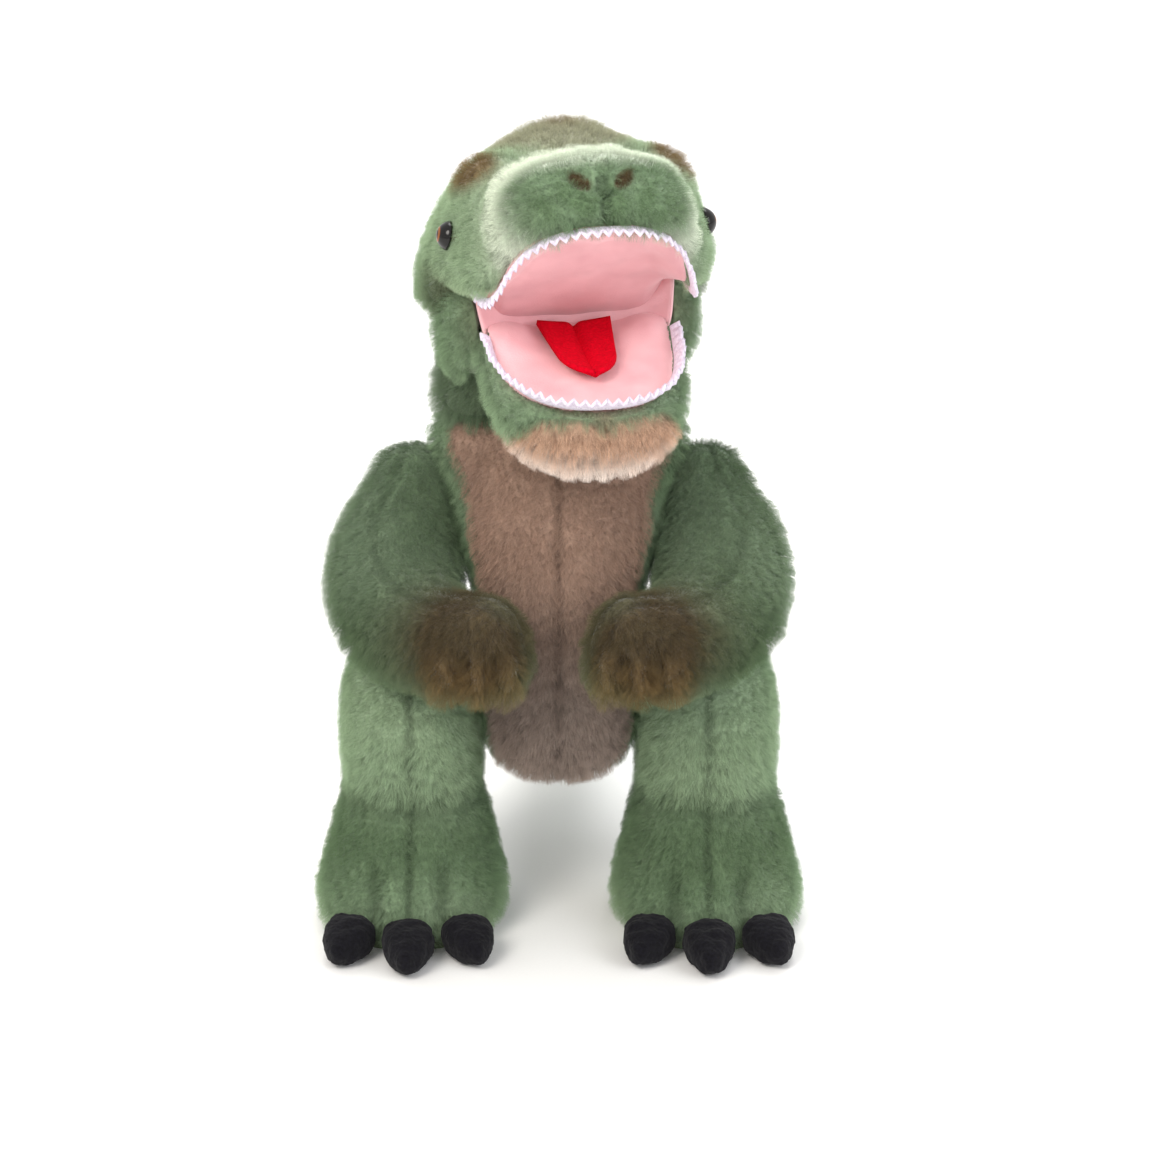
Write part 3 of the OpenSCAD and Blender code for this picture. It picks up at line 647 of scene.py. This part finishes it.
# Painted shade towards the hinge, behind the corners of the mouth.
colour = mix(colour, SHADOW_BROWN[None, :], 0.5 * smooth_step(-f, -20, -6))
colour = mix(colour, PALATE_PINK[None, :], 1 - skin)
shade_and_store_colours(jaw, colour, [0.4 * bell(chin_edge, 1.0)])
grow_pile(jaw, length=4.4, lean=(0, -0.4, -2.4), seed=14, share=skin)
dress(jaw, "jaw", JAW_SIDES + ["chin_panel", "jaw_filling"])

# %% [markdown]
# ## Arms
# Each arm is a bent sausage of two panels, with the seams along its top and underside.
# It ends in a mitten paw: two tucks on its lower edge make the fingers, and the back
# of the paw is sprayed brown. The upper arm is pressed flat against the trunk.

# %% Arms
for side_name, way in (("left", 1), ("right", -1)):
    panels = [f"arm_outer_{side_name}", f"arm_inner_{side_name}"]
    arm = stuffed(f"arm_plush_{side_name}", panels + [f"arm_filling_{side_name}"], 1.9, INSET)
    points = coordinates(arm)
    x, y, z = (points / MM).T
    out = way * x
    edge = seam_between(points, panels[:1], panels[1:])
    reach = smooth_step(-y, -(hand_y + 34), -(hand_y + 16))
    low = smooth_step(-z, -128, -116)
    tucks = bell(out - 33, 2.6) + bell(out - 23, 2.4)
    lobes = bell(out - 28, 4.0) + bell(out - 39, 5.0) + bell(out - 18, 3.5)
    press(arm, 0.7 * bell(edge, 2.0) + low * reach * (4.6 * tucks - 2.6 * lobes))
    points = coordinates(arm)
    inner = smooth_step(-out, -62, -46) * bell(z - 136, 17) * smooth_step(y, hand_y + 24, hand_y + 36)
    points[:, 0] -= way * 5.5 * inner * MM
    move_points(arm, points)
    colour = green_cloth(points, 51 + way, light=0.2) * 0.72
    paw = bell(np.sqrt(((out - 31) / 1.25) ** 2 + (z - 127) ** 2 + ((y - hand_y - 6) / 1.5) ** 2), 20)
    colour = mix(colour, BROWN_SPRAY[None, :] * 0.42, np.clip(1.35 * paw, 0, 0.95))
    # Painted shade in the two tucks between the fingers, and painted light on the rounded lobes.
    colour = mix(colour, BROWN_SPRAY[None, :] * 0.25, 0.8 * low * reach * np.clip(tucks, 0, 1))
    colour = mix(colour, BROWN_SPRAY[None, :] * 1.2, 0.5 * low * reach * np.clip(lobes, 0, 1))
    shade_and_store_colours(arm, colour, [0.3 * bell(edge, 1.0)])
    grow_pile(arm, length=5.0, lean=(way * 0.4, -0.6, -2.8), seed=20 + way)
    dress(arm, f"arm_{side_name}", panels + [f"arm_filling_{side_name}"])

# %% [markdown]
# ## Legs
# A leg is a tall bag with one seam down its front and one down its back. It has a fat
# thigh, a crease below the knee, and a foot that flares to the sole. Short stitches
# pull two dimples into the front of the foot, which part the toes.

# %% Legs
for side_name, way in (("left", 1), ("right", -1)):
    panels = [f"leg_outer_{side_name}", f"leg_inner_{side_name}"]
    leg = stuffed(f"leg_plush_{side_name}", panels + [f"leg_filling_{side_name}"], 2.1, INSET)
    points = coordinates(leg)
    x, y, z = (points / MM).T
    sole_low, sole_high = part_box(f"sole_{side_name}")
    centre = (sole_low[0] + sole_high[0]) / 2 / MM
    leg_front = smooth_step(-y, 45, 62)
    edge = seam_between(points, panels[:1], panels[1:])
    crease = bell(z - 51, 3.6)
    toes = bell(np.abs(x - centre) - 12, 3.0) * smooth_step(-z, -34, -24) * leg_front
    press(leg, 1.5 * bell(edge, 1.7) + 1.2 * crease + 2.2 * toes)
    colour = green_cloth(points, 61 + way, light=0.4)
    # Painted light on the front of the thigh above the knee, and painted shade round the shin below
    # the thigh.
    colour = mix(colour, GREEN_LIGHT[None, :], 0.55 * leg_front * smooth_step(z, 48, 62))
    colour = mix(colour, GREEN_DARK[None, :] * 0.85, 0.8 * bell(z - 36, 15))
    colour = mix(colour, GREEN_LIGHT[None, :], 0.35 * smooth_step(-z, -22, -10))
    shade_and_store_colours(leg, colour, [0.8 * bell(edge, 0.9), 0.5 * crease, 0.6 * toes])
    grow_pile(leg, length=4.6, lean=(0, 0, -2.8), seed=30 + way)
    dress(leg, f"leg_{side_name}", panels + [f"leg_filling_{side_name}"])

# %% [markdown]
# ## Tail
# The tail tapers to a blunt tip and rests behind the toy. Its pile is brushed towards
# the tip, and a soft brown stripe follows its top.

# %% Tail
TAIL_PANELS = ["tail_left", "tail_right"]
tail = stuffed("tail_plush", TAIL_PANELS + ["tail_filling"], 1.9, INSET * 0.8)
points = coordinates(tail)
x, y, z = (points / MM).T
edge = seam_between(points, TAIL_PANELS[:1], TAIL_PANELS[1:])
press(tail, 0.9 * bell(edge, 1.6))
line = np.polyfit(y, z, 1)
above = z - np.polyval(line, y)
colour = green_cloth(points, 71)
colour = mix(colour, BROWN_SPRAY[None, :], 0.55 * bell(x, 9) * smooth_step(above, 2, 8))
shade_and_store_colours(tail, colour, [0.5 * bell(edge, 0.9)])
grow_pile(tail, length=4.8, lean=(0, 2.4, -2.2), seed=15)
dress(tail, "tail", TAIL_PANELS + ["tail_filling"])


# %% [markdown]
# ## Brushed lining
# The inside of the mouth is a thin brushed knit in pink, stretched over the filling.
# It has a very short nap: matte, with a weak sheen and a fine grain about half a
# millimetre across, and a few shallow wrinkles where it is pulled to the lips.

# %% Lining material
def brushed_knit(name, tone, deep):
    material, tree, shader = new_material(
        name, Roughness=0.85, Sheen_Weight=0.35, Sheen_Roughness=0.45, Specular_IOR_Level=0.3
    )
    place = add(tree, "ShaderNodeTexCoord")
    nap = add(tree, "ShaderNodeTexNoise", {"Scale": 1400.0, "Detail": 4.0},
              {"Vector": place.outputs["Object"]})
    cloud = add(tree, "ShaderNodeTexNoise", {"Scale": 70.0, "Detail": 2.0},
                {"Vector": place.outputs["Object"]})
    tint = add(tree, "ShaderNodeValToRGB", None, {"Fac": cloud.outputs["Fac"]})
    tint.color_ramp.elements[0].position = 0.3
    tint.color_ramp.elements[0].color = rgba(deep)
    tint.color_ramp.elements[1].position = 0.7
    tint.color_ramp.elements[1].color = rgba(tone)
    tree.links.new(tint.outputs["Color"], shader.inputs["Base Color"])
    bump = add(tree, "ShaderNodeBump", {"Strength": 0.5, "Distance": 0.0003},
               {"Height": nap.outputs["Fac"]})
    tree.links.new(bump.outputs["Normal"], shader.inputs["Normal"])
    return material


PINK_PALATE = brushed_knit("pink_brushed_knit_palate", "#e2adb1", "#d29a9f")
PINK_JAW = brushed_knit("pink_brushed_knit_jaw", "#efc0c3", "#e2abb0")


# %% [markdown]
# ## Sheets and strips
# A thin piece, such as felt or lining, is simplest as rows of points joined into a
# grid, which is then given its thickness. Points near the hinge of the mouth are
# easiest to place by their radius and angle round it.

# %% Sheets and strips
def grid_mesh(name, rows):
    """A mesh through rows of points, each row of the same length."""
    rows = np.asarray(rows)
    count, width = rows.shape[:2]
    faces = [(i * width + j, i * width + j + 1, (i + 1) * width + j + 1, (i + 1) * width + j)
             for i in range(count - 1) for j in range(width - 1)]
    mesh = bpy.data.meshes.new(name)
    mesh.from_pydata(rows.reshape(-1, 3).tolist(), [], faces)
    mesh.update()
    piece = bpy.data.objects.new(name, mesh)
    bpy.context.scene.collection.objects.link(piece)
    return piece


def thicken(piece, thickness, offset=0.0):
    solid = piece.modifiers.new("thickness", "SOLIDIFY")
    solid.thickness = thickness * MM
    solid.offset = offset
    solid.use_even_offset = True
    solid.use_quality_normals = True
    apply_modifiers(piece)
    piece.data.shade_smooth()


def round_hinge(across_mm, radius_mm, angle):
    """A point beside the hinge line, at an angle above level."""
    return from_mouth((across_mm, radius_mm * math.cos(angle), radius_mm * math.sin(angle)), 0)


# %% Linings
def cloth_sheet(name, node, body, material, slope, lip, wrinkle, seed):
    piece = joined(name, [node])
    weld = piece.modifiers.new("weld", "REMESH")
    weld.mode = "VOXEL"
    weld.voxel_size = 0.6 * MM
    even = piece.modifiers.new("even", "SMOOTH")
    even.factor = 0.5
    even.iterations = 6
    apply_modifiers(piece)
    keep_outer_shell(piece)
    a, f, u = in_mouth(coordinates(piece), slope).T
    outside = beyond_lip(a, f, **lip) > -0.3
    middle_of_mouth = Vector(from_mouth((0, 28, -30 if slope == PALATE_SLOPE else 40), slope))
    trim = bmesh.new()
    trim.from_mesh(piece.data)
    unseen = [face for face in trim.faces
              if face.normal.dot(middle_of_mouth - face.calc_center_median()) < 0
              or any(outside[vert.index] for vert in face.verts)]
    bmesh.ops.delete(trim, geom=unseen, context="FACES")
    trim.to_mesh(piece.data)
    trim.free()
    keep_outer_shell(piece)
    if slope == PALATE_SLOPE:
        hang_lip(piece)
    else:
        lift_corners(piece)
    points = coordinates(piece)
    press(piece, wrinkle * mottle(points, 16, seed))
    thicken(piece, 0.8, offset=-1)
    piece.data.materials.clear()
    piece.data.materials.append(material)
    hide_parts(node)
    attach(piece, body)
    return piece


cloth_sheet("palate_cloth", "palate_lining", "head", PINK_PALATE, PALATE_SLOPE, UPPER_LIP,
            0.35, 81)
cloth_sheet("jaw_cloth", "jaw_lining", "jaw", PINK_JAW, JAW_SLOPE, LOWER_LIP,
            0.3, 82)

# %% [markdown]
# ## Throat and corners of the mouth
# The lining runs on through the hinge as a soft fold. In the middle it tucks in close
# to the hinge. At the corners it comes forward between the ends of the two lips, so
# that the mouth can open without a gap.

# %% Throat fold
rows = []
for across_mm in np.linspace(-35.8, 35.8, 61):
    reach = 3.2 + 13.0 * (abs(across_mm) / 36.5) ** 4
    row = []
    for share in np.linspace(0, 1, 17):
        angle = (PALATE_SLOPE + 0.5) + (JAW_SLOPE - PALATE_SLOPE - 0.9) * share
        fold = 1 - 0.24 * math.sin(math.pi * share) + 0.04 * math.sin(9 * share + across_mm / 5)
        narrow = 1 - 0.10 * share**2
        raised = upright * 5.0 * MM * (abs(across_mm) / 36) ** 4
        row.append(round_hinge(across_mm * narrow, reach * fold, angle) + raised)
    rows.append(row)
throat = grid_mesh("throat_fold", rows)
thicken(throat, 0.9)
throat.data.materials.append(PINK_JAW)
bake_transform(throat)

# %% [markdown]
# ## Jowls
# Outside the corners of the mouth the cheek's plush runs down to the sides of the
# lower jaw. It is a soft pad, darker where it turns in.

# %% Jowls
BETWEEN_JAWS = math.radians(14)
for side_name, way in (("left", 1), ("right", -1)):
    rows = []
    for share in np.linspace(0.0, 1.0, 25):
        turn = math.pi * share
        row = []
        for angle in np.linspace(0, 2 * math.pi, 41):
            ring = math.sin(turn) ** 0.8
            lower = (1 + math.cos(turn)) / 2
            forward = 15.0 * ring * math.cos(angle) - 2.0 - 5.0 * lower
            rise = -16.5 * math.cos(turn) - 1.5
            outer = -3.0 * lower + 8.0 * ring * math.sin(angle) * (1.0 if math.sin(angle) > 0 else 0.1)
            belly = 1.5 * math.sin(turn) * math.sin(angle)
            row.append(from_mouth((way * (37.0 + outer + belly), forward, rise), BETWEEN_JAWS))
        rows.append(row)
    jowl = grid_mesh(f"jowl_plush_{side_name}", rows)
    tidy = bmesh.new()
    tidy.from_mesh(jowl.data)
    bmesh.ops.remove_doubles(tidy, verts=tidy.verts, dist=0.05 * MM)
    bmesh.ops.recalc_face_normals(tidy, faces=tidy.faces)
    tidy.to_mesh(jowl.data)
    tidy.free()
    jowl.data.shade_smooth()
    points = coordinates(jowl)
    press(jowl, 0.5 * mottle(points, 9, 95))
    a, f, u = in_mouth(points, BETWEEN_JAWS).T
    # Painted shadow where the jowl turns in towards the corner of the mouth.
    colour = mix(green_cloth(points, 96), SHADOW_BROWN[None, :], 0.6 * smooth_step(f, 5, 13))
    shade_and_store_colours(jowl, colour, [])
    grow_pile(jowl, length=4.2, lean=(way * 0.3, 0.8, -1.8), seed=40 + way,
              share=smooth_step(way * a, 35.6, 37.2))
    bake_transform(jowl)


# %% [markdown]
# ## Felt
# Felt is pressed wool or polyester fibre, a little over a millimetre thick. It has no
# weave. The eye sees a matte surface with short stray fibres, slightly uneven in tone.

# %% Felt material
def pressed_felt(name, tone, deep, fuzz=0.5):
    material, tree, shader = new_material(
        name, Roughness=0.95, Sheen_Weight=fuzz, Sheen_Roughness=0.6, Specular_IOR_Level=0.08
    )
    place = add(tree, "ShaderNodeTexCoord")
    fibre = add(tree, "ShaderNodeTexNoise", {"Scale": 900.0, "Detail": 5.0, "Roughness": 0.7},
                {"Vector": place.outputs["Object"]})
    tint = add(tree, "ShaderNodeValToRGB", None, {"Fac": fibre.outputs["Fac"]})
    tint.color_ramp.elements[0].position = 0.35
    tint.color_ramp.elements[0].color = rgba(deep)
    tint.color_ramp.elements[1].position = 0.65
    tint.color_ramp.elements[1].color = rgba(tone)
    tree.links.new(tint.outputs["Color"], shader.inputs["Base Color"])
    bump = add(tree, "ShaderNodeBump", {"Strength": 0.8, "Distance": 0.0004},
               {"Height": fibre.outputs["Fac"]})
    tree.links.new(bump.outputs["Normal"], shader.inputs["Normal"])
    return material


WHITE_FELT = pressed_felt("white_felt", "#ece3f0", "#cbbfd2", 0.2)
RED_FELT = pressed_felt("red_felt", "#d80020", "#b80018", 0.0)
BLACK_FELT = pressed_felt("black_felt", "#141319", "#08070a", 0.05)
SOLE_FELT = pressed_felt("sole_felt", "#5d6a4c", "#48543b", 0.3)


# %% [markdown]
# ## Felt teeth
# The teeth are one narrow strip of white felt along each lip, cut with pinking shears
# so that its free edge is a row of small points. A strip is easiest to make as a grid
# that follows the line of the lip, with the free edge's height going up and down.

# %% Felt teeth
def signed_power(value, exponent):
    return np.sign(value) * np.abs(value) ** exponent


def lip_line(half_width, back, front, steps):
    """Evenly spaced points along a half rounded square, and their distance along it."""
    turn = np.linspace(0.018 * math.pi, 0.982 * math.pi, 2001)
    line = np.stack([half_width * signed_power(np.cos(turn), 0.8),
                     back + (front - back) * signed_power(np.sin(turn), 0.8)], axis=-1)
    along = np.concatenate([[0], np.cumsum(np.linalg.norm(np.diff(line, axis=0), axis=1))])
    even = np.linspace(0, along[-1], steps)
    return np.stack([np.interp(even, along, line[:, k]) for k in (0, 1)], axis=-1), even


def tooth_strip(name, node, body, slope, way, lip, pitch, flare, base):
    teeth = 2 * round(lip_line(steps=50, **lip)[1][-1] / pitch / 2)
    line, along = lip_line(steps=teeth * 10 + 1, **lip)
    length = along[-1]
    outward = np.gradient(line, axis=0)
    outward = np.stack([outward[:, 1], -outward[:, 0]], axis=-1)
    outward /= np.linalg.norm(outward, axis=1)[:, None]
    phase = along / length * teeth
    point = np.abs(2 * (phase - np.floor(phase)) - 1)
    ends = smooth_step(np.minimum(along, length - along), 0, 8)
    height = (base + 2.4 * point ** 1.2) * (0.45 + 0.55 * ends)
    rows = []
    for share in np.linspace(0, 1, 7):
        spread = flare * share**1.4 + 0.25 * np.sin(phase * 2.1) * share
        place = line + outward * (spread)[:, None]
        rise = way * (0.3 + height * share)
        rows.append(from_mouth(np.stack([place[:, 0], place[:, 1], rise], axis=-1), slope))
    piece = grid_mesh(name, rows)
    if slope == PALATE_SLOPE:
        hang_lip(piece)
    else:
        lift_corners(piece)
    thicken(piece, 1.0)
    piece.data.materials.append(WHITE_FELT)
    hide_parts(node)
    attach(piece, body)
    print(f"{name}: {teeth} points on {length:.0f} mm of felt")


tooth_strip("upper_teeth_felt", "upper_teeth", "head", PALATE_SLOPE, -1, UPPER_LIP, 3.6, 1.5, 1.9)
tooth_strip("lower_teeth_felt", "lower_teeth", "jaw", JAW_SLOPE, 1, LOWER_LIP, 3.6, 3.2, 3.2)


# %% [markdown]
# ## Tongue
# The tongue is a leaf of thick red felt, sewn on along its middle. The stitching makes
# a crease, the two sides rise from it, and the tip lifts a little.

# %% Tongue
rows = []
for share in np.linspace(0, 1, 26):
    half = 13.3 * (1 - 0.36 * share) * math.sqrt(max(1 - max(share - 0.62, 0) ** 2 / 0.1445, 0.0))
    row = []
    for s in np.linspace(-1, 1, 25):
        crease = 2.2 * math.exp(-((s * half / 1.6) ** 2)) * (1 - share**3)
        lift = 1.6 + 1.5 * abs(s) ** 1.5 + 2.0 * share**3 - crease
        row.append([s * max(half, 0.8), 6.4 + 37.6 * share, lift])
    rows.append(from_mouth(row, JAW_SLOPE))
tongue = grid_mesh("tongue_felt", rows)
thicken(tongue, 1.9)
tongue.data.materials.append(RED_FELT)
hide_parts("tongue")
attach(tongue, "jaw")

# %% [markdown]
# ## Claws and soles
# Each claw is a small felt bag, lightly stuffed, broad and blunt with a soft point.
# Its surface is slightly lumpy because the felt is stiff and the bag is small.

# %% Claws and soles
for side_name in ("left", "right"):
    for which in ("inner", "middle", "outer"):
        node = f"claw_{which}_{side_name}"
        claw = stuffed(f"claw_felt_{which}_{side_name}", [node], 0.9, -0.2, relax=1)
        points = coordinates(claw)
        press(claw, 0.35 * mottle(points, 6, 90) + 0.12 * mottle(points, 2, 91))
        claw.data.materials.clear()
        claw.data.materials.append(BLACK_FELT)
        dress(claw, f"leg_{side_name}", [node])
    sole = frame["nodes"][f"sole_{side_name}"]
    sole.data.materials.clear()
    sole.data.materials.append(SOLE_FELT)


# %% [markdown]
# ## Eyes
# A safety eye is a domed acrylic cap on a ribbed stem that goes through the cloth. The
# dome is clear and glossy over a painted disc: a black pupil, a narrow amber-brown ring
# and a wide black rim. A lathed profile in mm makes the cap, and rings by radius make
# the paint. Moulded acrylic has an IOR of 1.49, and handling dulls its polish a little.

# %% Eye material
def painted_acrylic():
    material, tree, shader = new_material(
        "black_acrylic_with_amber_iris", Roughness=0.12, IOR=1.49, Specular_IOR_Level=0.35
    )
    place = add(tree, "ShaderNodeTexCoord")
    parts = add(tree, "ShaderNodeSeparateXYZ", None, {"Vector": place.outputs["Object"]})
    flat = add(tree, "ShaderNodeCombineXYZ", None,
               {"X": parts.outputs["X"], "Y": parts.outputs["Y"]})
    radius = add(tree, "ShaderNodeVectorMath", {"operation": "LENGTH"},
                 {"Vector": flat.outputs["Vector"]})
    share = add(tree, "ShaderNodeMapRange", {"From Min": 0.0, "From Max": 5.25 * MM},
                {"Value": radius.outputs["Value"]})
    ring = add(tree, "ShaderNodeValToRGB", None, {"Fac": share.outputs["Result"]})
    stops = ring.color_ramp.elements
    stops[0].position = 0.0
    stops[0].color = rgba("#0b0908")
    stops[1].position = 1.0
    stops[1].color = rgba("#0d0a08")
    for position, tone in ((0.30, "#0b0908"), (0.37, "#6a3912"), (0.48, "#8a4d1c"), (0.58, "#0b0908")):
        stop = stops.new(position)
        stop.color = rgba(tone)
    tree.links.new(ring.outputs["Color"], shader.inputs["Base Color"])
    return material


EYE_ACRYLIC = painted_acrylic()


# %% Eyes
def eye_axis(node):
    """Where the eye's dome sits and which way it looks, from the frame's own solid."""
    mesh = frame["nodes"][node].data
    cloud = np.array([vert.co[:] for vert in mesh.vertices])
    centre = cloud.mean(axis=0)
    axis = np.linalg.svd(cloud - centre)[2][0]
    along = (cloud - centre) @ axis
    radial = np.linalg.norm(cloud - centre - along[:, None] * axis, axis=1)
    if along[radial > 3.5 * MM].mean() < 0:
        axis, along = -axis, -along
    return centre + axis * along.max(), axis


EYE_PROFILE = [(0, 0), (1.3, -0.18), (2.6, -0.75), (3.7, -1.6), (4.6, -2.7), (5.1, -3.7),
               (5.25, -4.4), (5.0, -4.9), (4.2, -5.0), (2.0, -5.0), (2.0, -8.0), (0, -8.0)]
for side_name in ("left", "right"):
    apex, axis = eye_axis(f"eye_{side_name}")
    seat = apex - axis * 5.2 * MM
    axis = axis - ahead_level * 0.28 - upright * 0.1
    axis = axis / np.linalg.norm(axis)
    apex = seat + axis * 5.6 * MM
    turns = np.linspace(0, 2 * math.pi, 49)
    rings = [[(r * math.cos(t) * MM, r * math.sin(t) * MM, h * MM) for t in turns]
             for r, h in EYE_PROFILE]
    eye = grid_mesh(f"eye_cap_{side_name}", rings)
    tidy = bmesh.new()
    tidy.from_mesh(eye.data)
    bmesh.ops.remove_doubles(tidy, verts=tidy.verts, dist=1e-6)
    bmesh.ops.recalc_face_normals(tidy, faces=tidy.faces)
    tidy.to_mesh(eye.data)
    tidy.free()
    eye.data.shade_smooth()
    eye.data.materials.append(EYE_ACRYLIC)
    turn = Vector((0, 0, 1)).rotation_difference(Vector(axis)).to_matrix().to_4x4()
    eye.matrix_world = Matrix.Translation(Vector(apex)) @ turn
    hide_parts(f"eye_{side_name}")
    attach(eye, "head")
    print(f"eye_cap_{side_name} at {np.round(np.array(apex) / MM, 1)} mm")

# %% [markdown]
# ## Floor, light and camera
# A product like this is shown on pale paper under large soft lights, so that the pile
# has no hard shadows. The camera stands a little above, far away with a long lens, so
# that the toy keeps its proportions.

# %% Floor
def pale_paper():
    material, tree, shader = new_material("pale_paper", Roughness=0.9, Specular_IOR_Level=0.1)
    place = add(tree, "ShaderNodeTexCoord")
    grain = add(tree, "ShaderNodeTexNoise", {"Scale": 900.0}, {"Vector": place.outputs["Object"]})
    tint = add(tree, "ShaderNodeValToRGB", None, {"Fac": grain.outputs["Fac"]})
    tint.color_ramp.elements[0].color = rgba("#f1f0ee")
    tint.color_ramp.elements[1].color = rgba("#f6f5f3")
    tree.links.new(tint.outputs["Color"], shader.inputs["Base Color"])
    return material


bpy.ops.mesh.primitive_grid_add(x_subdivisions=4, y_subdivisions=4, size=12)
floor = bpy.context.object
floor.name = "paper_floor"
floor.data.materials.append(pale_paper())

# %% Light
def soft_light(name, place, aim, size, power, tone):
    data = bpy.data.lights.new(name, "AREA")
    data.shape = "DISK"
    data.size = size
    data.energy = power
    data.color = linear(tone)
    lamp = bpy.data.objects.new(name, data)
    lamp.location = place
    lamp.rotation_euler = (Vector(aim) - Vector(place)).to_track_quat("-Z", "Y").to_euler()
    bpy.context.scene.collection.objects.link(lamp)


soft_light("key_softbox", (-0.9, -1.3, 1.5), (0, 0, 0.14), 1.0, 24, "#fffaf3")
soft_light("fill_softbox", (1.3, -1.1, 0.9), (0, 0, 0.14), 1.2, 12, "#f6f9ff")
soft_light("top_softbox", (0.1, 0.7, 1.7), (0, 0, 0.14), 1.2, 16, "#ffffff")
world = bpy.data.worlds.new("soft_room")
world.use_nodes = True
world.node_tree.nodes["Background"].inputs["Color"].default_value = rgba("#ffffff")
world.node_tree.nodes["Background"].inputs["Strength"].default_value = 1.0
bpy.context.scene.world = world
bpy.context.scene.view_settings.view_transform = "Standard"

# %% Camera
AIM = Vector((0.0066, 0.0, 0.110))
HEIGHT_ANGLE = math.radians(20)
DISTANCE = 1.5
camera_data = bpy.data.cameras.new("camera")
camera_data.sensor_width = 36
camera_data.lens = 125
camera = bpy.data.objects.new("camera", camera_data)
camera.location = AIM + Vector((0, -math.cos(HEIGHT_ANGLE), math.sin(HEIGHT_ANGLE))) * DISTANCE
camera.rotation_euler = (AIM - camera.location).to_track_quat("-Z", "Y").to_euler()
bpy.context.scene.collection.objects.link(camera)
bpy.context.scene.camera = camera
